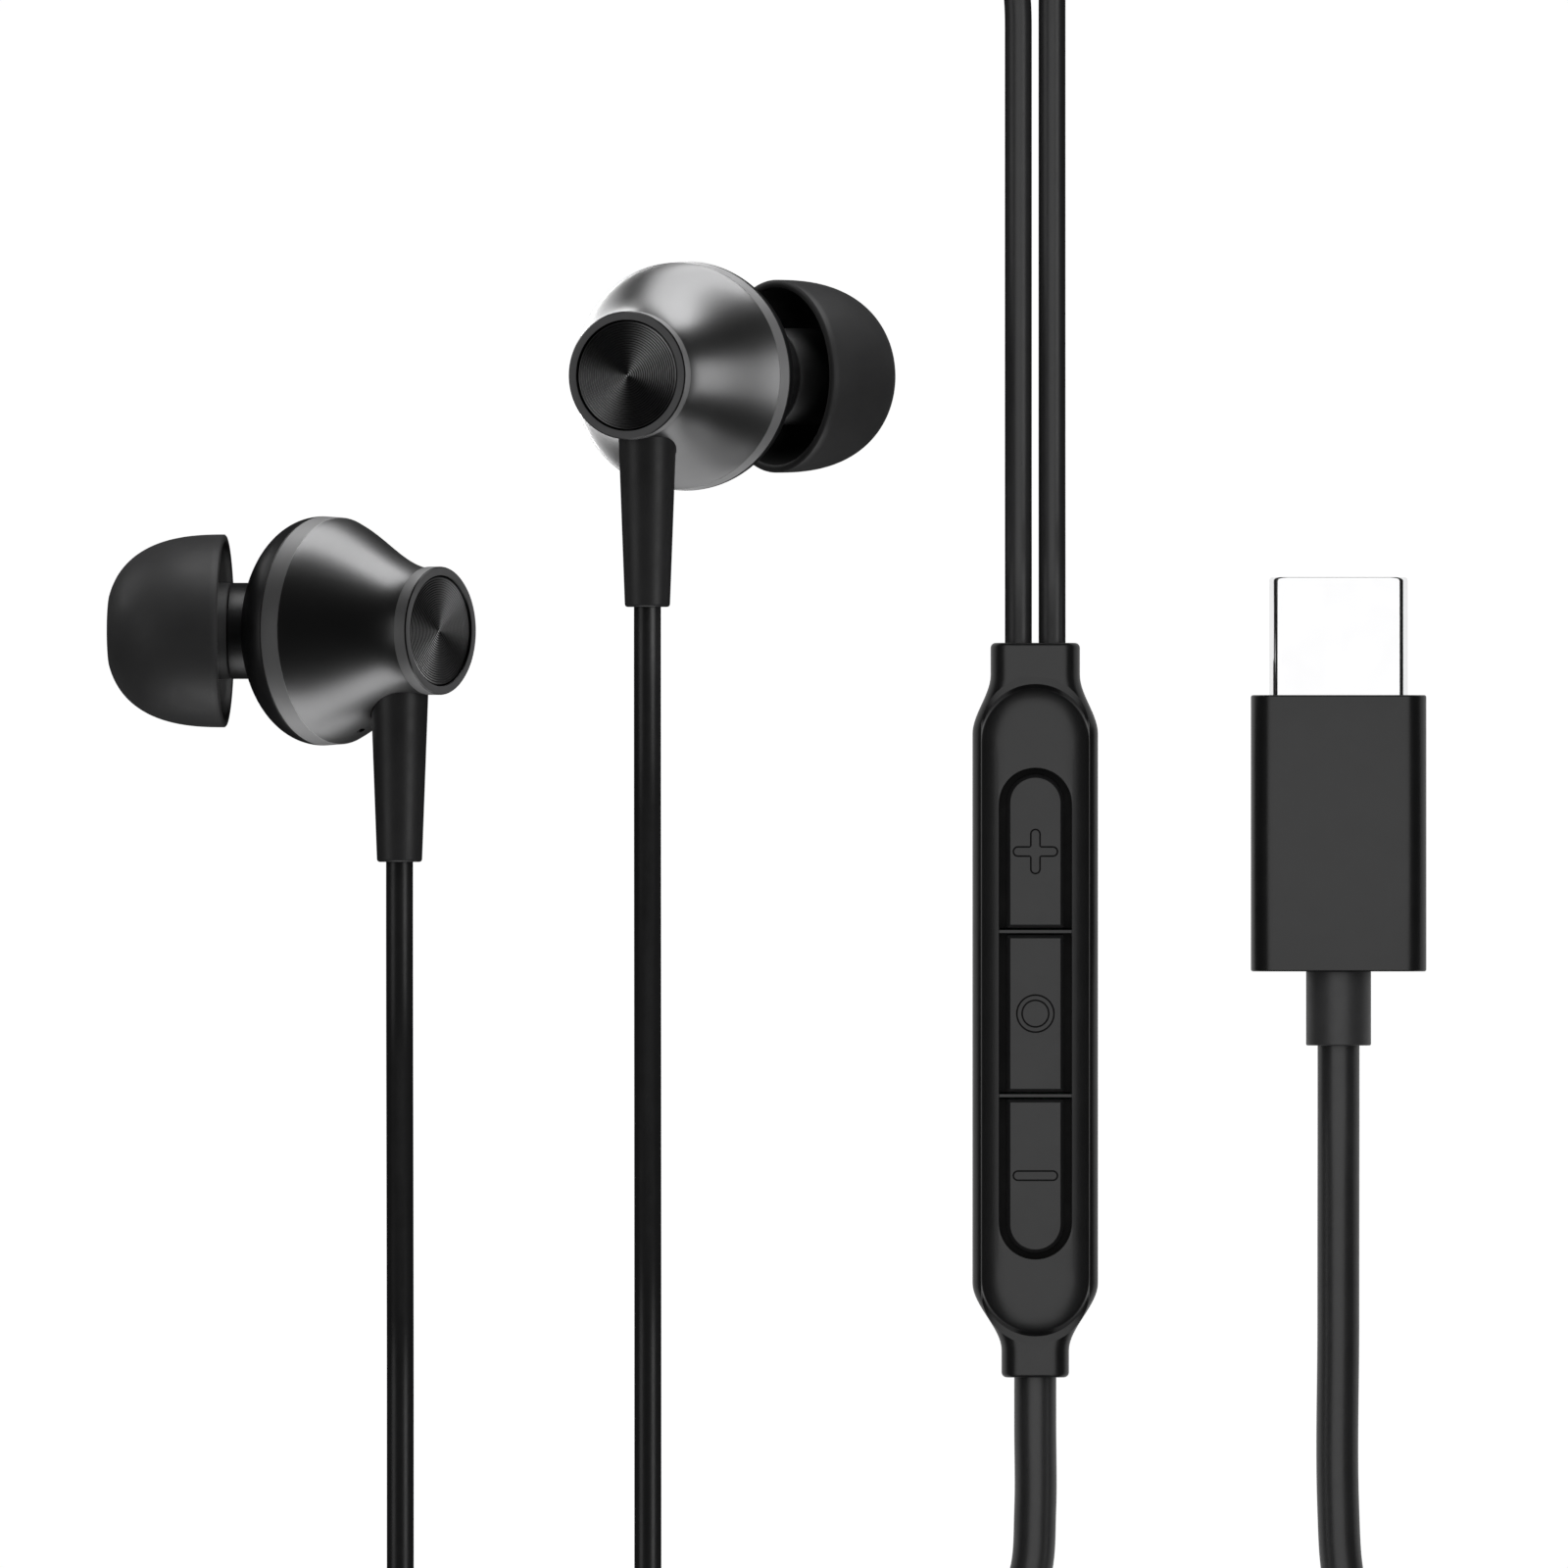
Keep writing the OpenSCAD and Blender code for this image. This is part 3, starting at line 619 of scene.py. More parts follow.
def earFrames(side):
    ear = earSettings
    sign = -1 if side == "left" else 1
    low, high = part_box(side + "_strain_relief")
    stemEnd = Vector(((low.x + high.x) / 2, low.y, (low.z + high.z) / 2))
    axis = joints[side + "_tip_pull"]["axis"]
    lean = sign * (math.radians(ear["nozzleTilt"]) - math.atan2(sign * axis[0], -axis[2]))
    housing = (Matrix.Translation(stemEnd) @ Matrix.Rotation(lean, 4, "Y")
               @ Matrix.Translation(Vector((0, ear["stemLength"], ear["stemBack"])) * mm))
    nozzle = (housing @ Matrix.Translation(Vector((0, 0, -ear["nozzleRoot"])) * mm)
              @ Matrix.Rotation(sign * math.radians(180 - ear["nozzleTilt"]), 4, "Y"))
    stem = (housing @ Matrix.Translation(Vector((0, 0, -ear["stemBack"])) * mm)
            @ Matrix.Rotation(math.radians(90), 4, "X"))
    return housing, nozzle, stem


tipSettings = {
    "radius": 5.72,
    "length": 7.1,
    "hollowRadius": 5.25,
    "hollowDepth": 5.3,
    "coreRadius": 2.85,
    "boreRadius": 2.1,
    "mouthRadius": 1.9,
    "boreEnd": 5.6,
    "foot": 0.32,  # how far the core sticks out behind the rim
    "footRound": 0.08,
    "start": 8.07,  # along the nozzle from its root
    "domePower": 2.6,  # exponent of the superellipse outline
}


def domePoints(radius, height, innerRadius, steps):
    power = 2 / tipSettings["domePower"]
    last = math.acos((innerRadius / radius) ** (1 / power))
    return [(radius * math.cos(last * k / steps) ** power,
             height * math.sin(last * k / steps) ** power) for k in range(steps + 1)]


def makeEarTip(side, nozzle):
    tip = tipSettings
    outside = domePoints(tip["radius"], tip["length"], tip["mouthRadius"] + 0.3, 40)
    inside = domePoints(tip["hollowRadius"], tip["hollowDepth"], tip["coreRadius"], 30)
    front, foot, bend = outside[-1][1], tip["foot"], tip["footRound"]
    mouth = roundCorners([outside[-1], (tip["mouthRadius"] + 0.03, front + 0.02, 0.25),
                          (tip["mouthRadius"], front - 0.5)], 8, closed=False)
    rim = [(tip["hollowRadius"] + 0.05, 0), (tip["radius"] - 0.06, 0)]
    outline = (outside[1:] + mouth[1:]
               + [(tip["mouthRadius"], tip["boreEnd"]), (tip["boreRadius"], tip["boreEnd"]),
                  (tip["boreRadius"], 0.02 - foot), (tip["boreRadius"] + bend, -foot),
                  (tip["coreRadius"] - bend, -foot), (tip["coreRadius"], bend - foot)]
               + inside[::-1][:-1] + [(tip["hollowRadius"], 0.05)] + rim
               + [(tip["radius"], 0.06)])
    place = nozzle @ Matrix.Translation((0, 0, tip["start"] * mm))
    piece = turnPiece(side + "EarTip", outline, "silicone", place, loop=True, sharp=50)
    return settle(piece, side + "_tip", "silicone", side + "_ear_tip")


shellSettings = {
    "flare": ((3.7, -0.85), (3.85, -3.2), (6.05, -5.5), (6.7, -7.15)),
    "lipFrom": -7.16,  # where the plain band at the lip starts
    "ventWidth": 0.6,
    "ventHeight": 0.34,
    "ventBack": 5.7,
    "stemHole": 1.72,
    "cutReach": 9,
}


# Gives the outermost wall of a turned metal piece a rougher band finish below a height, its colour
# made paler as painted light for the lamps it reflects
def paintLitBand(piece, radius, top):
    piece.data.materials.append(materials["painted_lit_band_metal"])
    for face in piece.data.polygons:
        if face.center.z < top * mm and face.center.xy.length > radius * mm:
            face.material_index = len(piece.data.materials) - 1


def makeRearShell(side, housing):
    ear, shell = earSettings, shellSettings
    outer = curvePoints(*shell["flare"], steps=44)
    inner = curvePoints(*[(r - ear["shellWall"], z) for r, z in shell["flare"]], steps=44)
    lip, back = ear["lipRadius"], -ear["lipBack"]
    bore = inner[-1][0]
    hole, reach = shell["stemHole"], shell["cutReach"]
    band = [(lip - 0.075, -7.18), (lip - 0.005, back + 0.06), (lip - 0.03, back), (bore, back)]
    piece = turnPiece(side + "RearShell", outer + band + inner[::-1], "housing_metal",
                      housing, steps=200, loop=True, sharp=14)
    stemHole = turnPiece("stemHole", [(0, 0), (hole, 0), (hole, reach), (0, reach)],
                         "housing_plastic", housing @ Matrix.Translation((0, 0, -ear["stemBack"] * mm))
                         @ Matrix.Rotation(math.radians(90), 4, "X"), steps=64)
    combine(piece, stemHole, sharp=14)
    slot = stadiumRing(shell["ventHeight"], shell["ventWidth"], 0, 0, 6)
    rings = [[(y, x, z) for x, y, _ in slot] for z in (3, reach)]
    vent = skinRings("vent", rings, "housing_plastic",
                     housing @ Matrix.Translation((0, 0, -shell["ventBack"] * mm))
                     @ Matrix.Rotation(math.radians(90), 4, "X"))
    combine(piece, vent, sharp=14)
    # painted light: the lip band takes the paler metal
    paintLitBand(piece, lip - 0.1, shell["lipFrom"])
    return settle(piece, mainBody, "housing_metal", side + "_rear_housing")


coverSettings = {
    "dome": ((6.8, -8.34), (6.8, -10.2), (5, -11.6), (0, -12.2)),
    "chamber": ((5.1, -9.15), (5, -10.4), (3.6, -11.3), (0, -11.4)),
    "nozzleRadius": 2.05,
    "boreRadius": 1.55,
    "collarRadius": 2.85,
    "collarFoot": 6.2,
    "collarEnd": 7.7,
    "nozzleEnd": 13.3,
}


def makeFrontCover(side, housing, nozzle):
    cover = coverSettings
    dome = curvePoints(*cover["dome"], steps=40)
    dome[0] = (6.76, -8.34)
    dome.insert(1, (6.798, -8.39))
    outline = (dome + curvePoints(*cover["chamber"], steps=24)[::-1]
               + [(5.5, -9.15), (5.5, -7.3), (6.18, -7.3), (6.18, -8.34)])
    piece = turnPiece(side + "FrontCover", outline, "housing_plastic", housing, steps=176,
                      loop=True)
    radius, collar = cover["nozzleRadius"], cover["collarRadius"]
    foot, end = cover["collarFoot"], cover["collarEnd"]
    tube = roundCorners([(0, foot), (collar, foot), (collar, end, 0.05), (radius, end, 0.12),
                         (radius, cover["nozzleEnd"], 0.2), (0, cover["nozzleEnd"])])
    combine(piece, turnPiece("nozzleTube", tube, "housing_plastic", nozzle, steps=96), "UNION")
    bore = [(0, 4), (cover["boreRadius"], 4), (cover["boreRadius"], 13),
            (cover["boreRadius"] + 0.25, 14), (0, 14)]
    combine(piece, turnPiece("nozzleBore", bore, "housing_plastic", nozzle, steps=96))
    return settle(piece, mainBody, "housing_plastic", side + "_front_housing")


ringSettings = {"chamfer": 0.07, "seatDepth": 0.55, "seatRadius": 2.4, "end": 1, "lip": 0.04}


def makeCapRing(side, housing):
    ear, ring = earSettings, ringSettings
    outer, hole = ear["ringRadius"], ear["discRadius"] + 0.03
    seat, spigot = ring["seatRadius"], ear["neckRadius"] - ear["shellWall"] - 0.02
    outline = roundCorners([
        (outer, -ear["ringHeight"], 0.06), (outer, -ring["chamfer"]),
        (outer - ring["chamfer"], 0), (hole, 0, ring["lip"]), (hole, -ring["seatDepth"]),
        (seat, -ring["seatDepth"]), (seat, -ring["end"]), (spigot, -ring["end"]),
        (spigot, -ear["ringHeight"])], 4)
    piece = turnPiece(side + "CapRing", outline, "ring_metal", housing, steps=176, loop=True,
                      sharp=25)
    # painted light: the ring's outer wall takes the paler metal
    paintLitBand(piece, outer - 0.01, -ring["chamfer"])
    return settle(piece, mainBody, "ring_metal", side + "_cap_ring")


discSettings = {"grooves": 21, "firstGroove": 0.12, "depth": 0.03, "top": -0.12, "under": -0.5}


def makeSpunDisc(side, housing):
    disc = discSettings
    edge = earSettings["discRadius"]
    pitch = (edge - 0.1 - disc["firstGroove"]) / disc["grooves"]
    outline = [(0, disc["top"] - disc["depth"]), (disc["firstGroove"] * 0.6, disc["top"])]
    for groove in range(disc["grooves"]):
        start = disc["firstGroove"] + groove * pitch
        outline += [(start, disc["top"]), (start + 0.3 * pitch, disc["top"] - disc["depth"]),
                    (start + 0.55 * pitch, disc["top"] - disc["depth"]),
                    (start + 0.85 * pitch, disc["top"])]
    outline += [(edge - 0.05, disc["top"]), (edge, disc["top"] - 0.05),
                (edge, disc["under"]), (0, disc["under"])]
    piece = turnPiece(side + "SpunDisc", outline, "spun_disc", housing, steps=176, sharp=60)
    return settle(piece, mainBody, "spun_disc", side + "_cap_disc")


stemSettings = {
    "radius": 1.7,
    "endRadius": 1.335,
    "flange": 1.9,
    "corner": 0.3,
    "cordSocket": 0.93,  # radius of the shallow ring round the cord
}


def makeStem(side, stem):
    look, end = stemSettings, earSettings["stemLength"]
    outline = roundCorners([
        (0, 2.3), (look["flange"], 2.3), (look["flange"], 2.9), (look["radius"], 2.9),
        (look["radius"], 3.9), (look["endRadius"], end, look["corner"]),
        (look["cordSocket"], end, 0.05), (look["cordSocket"] - 0.03, end - 0.25),
        (0.8, end - 0.25), (0.8, end), (0, end)], 8)
    piece = turnPiece(side + "Stem", outline, "stem_rubber", stem, steps=96, sharp=40)
    return settle(piece, mainBody, "stem_rubber", side + "_strain_relief")


gauzeSettings = {"wires": 13, "wireRadius": 0.034, "wave": 0.032, "height": 13.0}


# A round of woven wire: each wire rises and dips over the ones that cross it
def makeNozzleGauze(side, nozzle):
    gauze = gauzeSettings
    reach = coverSettings["boreRadius"] - 0.02
    pitch = 2 * reach / gauze["wires"]
    points, faces = [], []
    for across in (0, 1):
        for wire in range(gauze["wires"]):
            offset = (wire - (gauze["wires"] - 1) / 2) * pitch
            half = math.sqrt(max(0, (reach - gauze["wireRadius"]) ** 2 - offset ** 2))
            steps = max(6, round(2 * half / pitch * 6))
            first = len(points)
            for k in range(steps + 1):
                along = -half + 2 * half * k / steps
                phase = math.pi * (along / pitch + (wire % 2) + across)
                lift = gauze["wave"] * math.cos(phase)
                for corner in range(6):
                    turn = math.pi * corner / 3
                    sideways = offset + gauze["wireRadius"] * math.cos(turn)
                    height = gauze["height"] + lift + gauze["wireRadius"] * math.sin(turn)
                    flat = (sideways, along) if across else (along, sideways)
                    points.append((*flat, height))
            for k in range(steps):
                for corner in range(6):
                    a, b = first + 6 * k + corner, first + 6 * k + (corner + 1) % 6
                    faces.append([a, b, b + 6, a + 6])
            faces.append([first + corner for corner in range(6)])
            faces.append([first + 6 * steps + corner for corner in range(6)])
    piece = makePiece(side + "NozzleGauze", points, faces, "mesh_metal", nozzle, 60)
    return settle(piece, mainBody, "mesh_metal", side + "_nozzle_mesh")


# Points round a stadium that stands along y, centred on x = 0
def stadiumRing(width, length, centreY, z, arcSteps=28, sideSteps=24):
    radius, straight = width / 2, (length - width) / 2
    points = []
    for end in (1, -1):
        arc = arcPoints((0, centreY + end * straight), radius, 90 - 90 * end, 180, arcSteps)
        points += [(x, y, z) for x, y in arc]
        for k in range(1, sideSteps):
            points.append((-end * radius, centreY + end * straight * (1 - 2 * k / sideSteps), z))
    return points


for side in sides:
    housing, nozzle, stem = earFrames(side)
    makeEarTip(side, nozzle)
    makeRearShell(side, housing)
    makeFrontCover(side, housing, nozzle)
    makeCapRing(side, housing)
    makeSpunDisc(side, housing)
    makeStem(side, stem)
    makeNozzleGauze(side, nozzle)
    print(side, "ear piece made")

# Remote, in its own frame: the middle of its underside is the origin
remoteSettings = {
    "width": 7.45,
    "length": 43.6,
    "topNeck": 2.65,  # half widths of the two ends
    "bottomNeck": 2.0,
    "topShoulder": (1.9, 5.4),  # where the width grows, from the top end
    "bottomShoulder": (38, 42),  # and where it falls away again
    "seam": 2.4,
    "shoulder": 3.9,
    "face": 4.8,
    "wall": 0.8,
    "edgeRound": (1.1, 1.15),  # across and up, of the rounded long edges
    "endRound": 0.25,
    "underRound": 0.9,
    "micRadius": 0.35,
    "micAt": -16,
    "recess": (5.3, 37),  # under the panel
    "cornerRound": 0.3,
}
remoteLow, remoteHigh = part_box("remote_front_shell")
remoteCentre = (remoteLow + remoteHigh) / 2
remotePlace = Matrix.Translation((remoteCentre.x, remoteCentre.y, 0))


def remoteHalf(fromTop):
    remote = remoteSettings
    half = remote["width"] / 2

    def ease(span):
        return smoothStep((fromTop - span[0]) / (span[1] - span[0]))
    grown = remote["topNeck"] + (half - remote["topNeck"]) * ease(remote["topShoulder"])
    return grown - (half - remote["bottomNeck"]) * ease(remote["bottomShoulder"])


# One level outline of the remote, drawn in from its sides and from its ends
def remoteRing(sideInset, endInset, z):
    remote = remoteSettings
    top, length = remote["length"] / 2, remote["length"]
    stations = [1.2, 1.9] + [1.9 + 3.5 * k / 14 for k in range(1, 15)]
    stations += [6 + 2 * k for k in range(16)] + [38 + 4 * k / 16 for k in range(17)] + [42.5]
    rightSide = []
    halfTop = remoteHalf(0) - sideInset
    halfBottom = remoteHalf(length) - sideInset
    corner = remote["cornerRound"]
    rightSide += arcPoints((halfTop - corner, top - endInset - corner), corner, 90, -90, 5)
    for fromTop in stations:
        rightSide.append((remoteHalf(fromTop) - sideInset, top - fromTop))
    rightSide += arcPoints((halfBottom - corner, -top + endInset + corner), corner, 0, -90, 5)
    leftSide = [(-x, y) for x, y in reversed(rightSide)]
    return [(x, y, z) for x, y in rightSide + leftSide]


def endInsetAt(z, top, radius):
    over = z - (top - radius)
    return 0 if over <= 0 else radius - math.sqrt(max(0, radius ** 2 - over ** 2))


def makeBackShell():
    remote = remoteSettings
    radius = remote["underRound"]
    rings = []
    for k in range(11):
        turn = math.pi / 2 * k / 10
        z = radius * (1 - math.cos(turn))
        rings.append(remoteRing(radius * (1 - math.sin(turn)),
                                endInsetAt(-z, 0, remote["endRound"]), z))
    seam = remote["seam"]
    rings += [remoteRing(0, 0, seam - 0.05), remoteRing(0.04, 0.04, seam)]
    piece = skinRings("remoteBack", rings, "remote_plastic", remotePlace)
    wall = remote["wall"]
    cavity = [remoteRing(wall, wall, z) for z in (wall, seam + 1)]
    combine(piece, skinRings("cavity", cavity, "remote_plastic", remotePlace))
    mic = remote["micRadius"]
    micHole = turnPiece("micHole", [(0, -1), (mic, -1), (mic, 1.5), (0, 1.5)], "remote_plastic",
                        remotePlace @ Matrix.Translation((0, remote["micAt"] * mm, 0)), 40)
    combine(piece, micHole)
    return settle(piece, mainBody, "remote_plastic", "remote_back_shell")


panelSettings = {
    "width": 6.45,
    "length": 38.3,
    "edgeHeight": 4.28,  # where the crown starts to rise
    "crownReach": 1.75,  # how far in the crown goes on rising
    "slotWidth": 4.26,
    "slotLength": 29.1,
    "slotShift": -0.2,
    "slotEdge": 0.07,
    "ribAt": 4.87,
    "ribWidth": 0.22,
    "ribTop": 4.72,
    "skirt": 0.7,  # length of the slope up to the panel at each end
    "skirtFoot": 3.88,
}


def crownHeight(x, y):
    panel = panelSettings
    straight = (panel["length"] - panel["width"]) / 2
    reach = panel["width"] / 2 - math.hypot(x, max(0, abs(y) - straight))
    short = max(0, 1 - max(0, reach) / panel["crownReach"])
    face = remoteSettings["face"]
    return face - (face - panel["edgeHeight"]) * short ** 2.2


def makePanel():
    panel = panelSettings
    wide, long = panel["width"], panel["length"]
    slotWide, slotLong, shift = panel["slotWidth"], panel["slotLength"], panel["slotShift"]

    def crowned(ring, sink=0.0):
        return [(x, y, crownHeight(x, y) - sink) for x, y, _ in ring]
    skirted = long + 2 * panel["skirt"]
    rings = [stadiumRing(wide, skirted, 0, 3.5), stadiumRing(wide, skirted, 0, panel["skirtFoot"])]
    rings.append(stadiumRing(wide, long + 0.6 * panel["skirt"], 0, panel["skirtFoot"] + 0.1))
    rings.append(stadiumRing(wide, long, 0, 4.2))
    for inset, sink in ((0.012, 0.05), (0.04, 0.018), (0.08, 0.0)):
        rings.append(crowned(stadiumRing(wide - 2 * inset, long - 2 * inset, 0, 0), sink))
    sideGap = (wide - slotWide) / 2 - panel["slotEdge"]
    for step in range(1, 7):
        inset = 0.08 + (sideGap - 0.08) * step / 6
        rings.append(crowned(stadiumRing(wide - 2 * inset, long - 2 * inset, 0, 0)))
    edgeWide, edgeLong = slotWide + 2 * panel["slotEdge"], slotLong + 2 * panel["slotEdge"]
    for step in range(1, 7):
        share = step / 6
        flat = long - 2 * sideGap + (edgeLong - long + 2 * sideGap) * share
        rings.append(crowned(stadiumRing(edgeWide, flat, shift * share, 0)))
    for share, sink in ((0.6, 0.012), (0.2, 0.04), (0, 0.09)):
        edge = 2 * panel["slotEdge"] * share
        rings.append(crowned(stadiumRing(slotWide + edge, slotLong + edge, shift, 0), sink))
    rings += [stadiumRing(slotWide, slotLong, shift, 4),
              stadiumRing(5.32, 37, 0, 4), stadiumRing(5.32, 37, 0, 3.5)]
    return skinRings("panel", rings, "remote_plastic", remotePlace, loop=True)


def makeFrontShell():
    remote, panel = remoteSettings, panelSettings
    across, up = remote["edgeRound"]
    seam, shoulder = remote["seam"], remote["shoulder"]
    rings = [remoteRing(0.04, 0.04, seam), remoteRing(0, 0, seam + 0.05)]
    for k in range(15):
        turn = math.pi / 2 * k / 14
        z = shoulder - up + up * math.sin(turn)
        rings.append(remoteRing(across * (1 - math.cos(turn)),
                                endInsetAt(z, shoulder, remote["endRound"]), z))
    piece = skinRings("remoteFront", rings, "remote_plastic", remotePlace)
    wall = remote["wall"]
    cavity = [remoteRing(wall, wall, z) for z in (seam - 1, shoulder - wall)]
    combine(piece, skinRings("cavity", cavity, "remote_plastic", remotePlace))
    opening = [stadiumRing(*remote["recess"], 0, z) for z in (seam - 1, remote["face"] + 1)]
    combine(piece, skinRings("opening", opening, "remote_plastic", remotePlace))
    combine(piece, makePanel(), "UNION")
    settle(piece, mainBody, "remote_plastic", "remote_front_shell")
    for name, end in (("upperRib", 1), ("lowerRib", -1)):
        half, wide = panel["ribWidth"] / 2, panel["slotWidth"] / 2 + 0.02
        middle = panel["slotShift"] + end * panel["ribAt"]
        section = roundCorners([(-half, 4.0), (half, 4.0), (half, panel["ribTop"], 0.06),
                                (-half, panel["ribTop"], 0.06)], 4)
        rings = [[(x, middle + y, z) for y, z in section] for x in (-wide, wide)]
        settle(skinRings(name, rings, "remote_plastic", remotePlace), mainBody,
               "remote_plastic")


makeBackShell()
makeFrontShell()
print("remote shells made")

keySettings = {
    "width": 3.38,
    "underside": 3.5,
    "flangeTop": 3.95,
    "flangeGrow": 0.72,  # how far the flange goes past the key, each side
    "flangeEnd": 1.7,  # the round end's length that is stretched with it
    "endGap": 0.56,
    "top": 4.75,
    "bevel": (0.24, 0.13),
    "cornerRound": 0.12,
    "symbolShift": 0.3,  # outer symbols sit towards the play key
    "lineRadius": 0.05,
    "plusHalf": 1.31,
    "barHalf": 0.273,
    "circles": (1.1, 0.79),
}


# Outline of a key; outer keys are round at one end, the middle one is a rectangle
def keyRing(low, high, roundEnd, inset, z):
    half = keySettings["width"] / 2 - inset
    low, high = low + inset, high - inset
    corner = max(0.02, keySettings["cornerRound"] - inset / 2)
    side = half - corner
    if roundEnd:
        outline = arcPoints((0, high - half), half, 0, 180, 33)
    else:
        outline = arcPoints((side, high - corner), corner, 0, 90, 16)
        outline += arcPoints((-side, high - corner), corner, 90, 90, 16)
    outline += arcPoints((-side, low + corner), corner, 180, 90, 16)
    outline += arcPoints((side, low + corner), corner, 270, 90, 16)
    return [(x, y, z) for x, y in outline]


# A closed thin tube along a flat outline, for cutting the symbols' lines
def lineTool(outline, z, radius):
    rings = []
    count = len(outline)
    for i, (x, y) in enumerate(outline):
        before, after = outline[i - 1], outline[(i + 1) % count]
        way = Vector((after[0] - before[0], after[1] - before[1])).normalized()
        rings.append([(x + radius * math.cos(math.pi * k / 4) * way.y,
                       y - radius * math.cos(math.pi * k / 4) * way.x,
                       z + radius * math.sin(math.pi * k / 4)) for k in range(8)])
    return skinRings("lineTool", rings, "shaded_key_plastic", loop=True)


def barOutline(turns):
    half, reach = keySettings["barHalf"], keySettings["plusHalf"]
    points = []
    for turn in turns:
        arm = []
        if len(turns) > 2:
            arm.append((half + 0.06, -half))
        arm += arcPoints((reach - half, 0), half, -90, 180, 10)
        if len(turns) > 2:
            arm += [(half + 0.06, half)]
        spin = math.radians(turn)
        points += [(x * math.cos(spin) - y * math.sin(spin),
                    x * math.sin(spin) + y * math.cos(spin)) for x, y in arm]
    return points


def makeKey(name, node, body, outerEnd):
    key = keySettings
    low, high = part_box(node)
    centre = (low + high) / 2
    half = (high.y - low.y) / 2 / mm
    place = Matrix.Translation((centre.x, centre.y, 0))
    if outerEnd < 0:
        place = place @ Matrix.Rotation(math.pi, 4, "Z")
    innerEnd, outer = -half, half - (key["endGap"] if outerEnd else 0)
    rim, drop = key["bevel"]
    top = key["top"]

    def flangeRing(z):
        ring = keyRing(innerEnd, outer, bool(outerEnd), 0, z)
        grow = 1 + 2 * key["flangeGrow"] / key["width"]
        bend = outer - key["flangeEnd"]
        return [(x * grow, y if y < bend else y + (y - bend) * 0.2, z) for x, y, _ in ring]
    rings = [flangeRing(key["underside"]), flangeRing(key["flangeTop"])]
    rings.append(keyRing(innerEnd, outer, bool(outerEnd), 0, key["flangeTop"]))
    for inset, height in ((0, top - drop - 0.04), (0.03, top - drop), (rim - 0.04, top - 0.01),
                          (rim, top)):
        rings.append(keyRing(innerEnd, outer, bool(outerEnd), inset, height))
    piece = skinRings(name, rings, "key_plastic", place, sharp=20)
    # painted shade: the flange under the panel and, through the cuts, the symbol lines take the darker
    # copy of the key plastic
    piece.data.materials.append(materials["shaded_key_plastic"])
    for face in piece.data.polygons:
        if face.center.z < (key["flangeTop"] + 0.01) * mm:
            face.material_index = 1
    if outerEnd > 0:
        outlines = [barOutline((0, 90, 180, 270))]
    elif outerEnd < 0:
        outlines = [barOutline((0, 180))]
    else:
        outlines = [arcPoints((0, 0), radius, 0, 360, 72)[:-1] for radius in key["circles"]]
    shift = -key["symbolShift"] if outerEnd else 0
    for outline in outlines:
        tool = lineTool(outline, top, key["lineRadius"])
        tool.matrix_world = place @ Matrix.Translation((0, shift * mm, 0))
        combine(piece, tool, sharp=20)
    return settle(piece, body, "key_plastic", node)


makeKey("volumeUpKey", "volume_up_key", "volume_up", 1)
makeKey("playKey", "play_key", "play", 0)
makeKey("volumeDownKey", "volume_down_key", "volume_down", -1)
print("keys made")

# Plug, in its own frame: the middle of the moulded body, metal shell towards +y
plugSettings = {
    "body": (10.4, 16.4, 5.6),
    "edgeRound": 1.35,
    "endBevel": 0.1,
    "shell": (8.25, 2.4),
    "sheet": 0.3,
    "tail": 3.4,  # the shell's length inside the body
    "shown": 7.0,
    "cavity": (8.4, 3.0, 0.2),
    "clearance": 0.03,
    "sleeveRadius": 1.93,
    "sleeveLength": 4.4,
}
bodyLow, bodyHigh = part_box("plug_body")
plugPlace = Matrix.Translation((bodyLow + bodyHigh) / 2)


# A rounded rectangle square to y, with the same number of points whatever its size
def sectionRing(width, height, radius, y, cornerSteps=14):
    points = []
    for cornerX, cornerZ, first in ((1, 1, 0), (-1, 1, 90), (-1, -1, 180), (1, -1, 270)):
        centre = (cornerX * (width / 2 - radius), cornerZ * (height / 2 - radius))
        points += [(x, y, z) for x, z in arcPoints(centre, radius, first, 90, cornerSteps)]
    return points


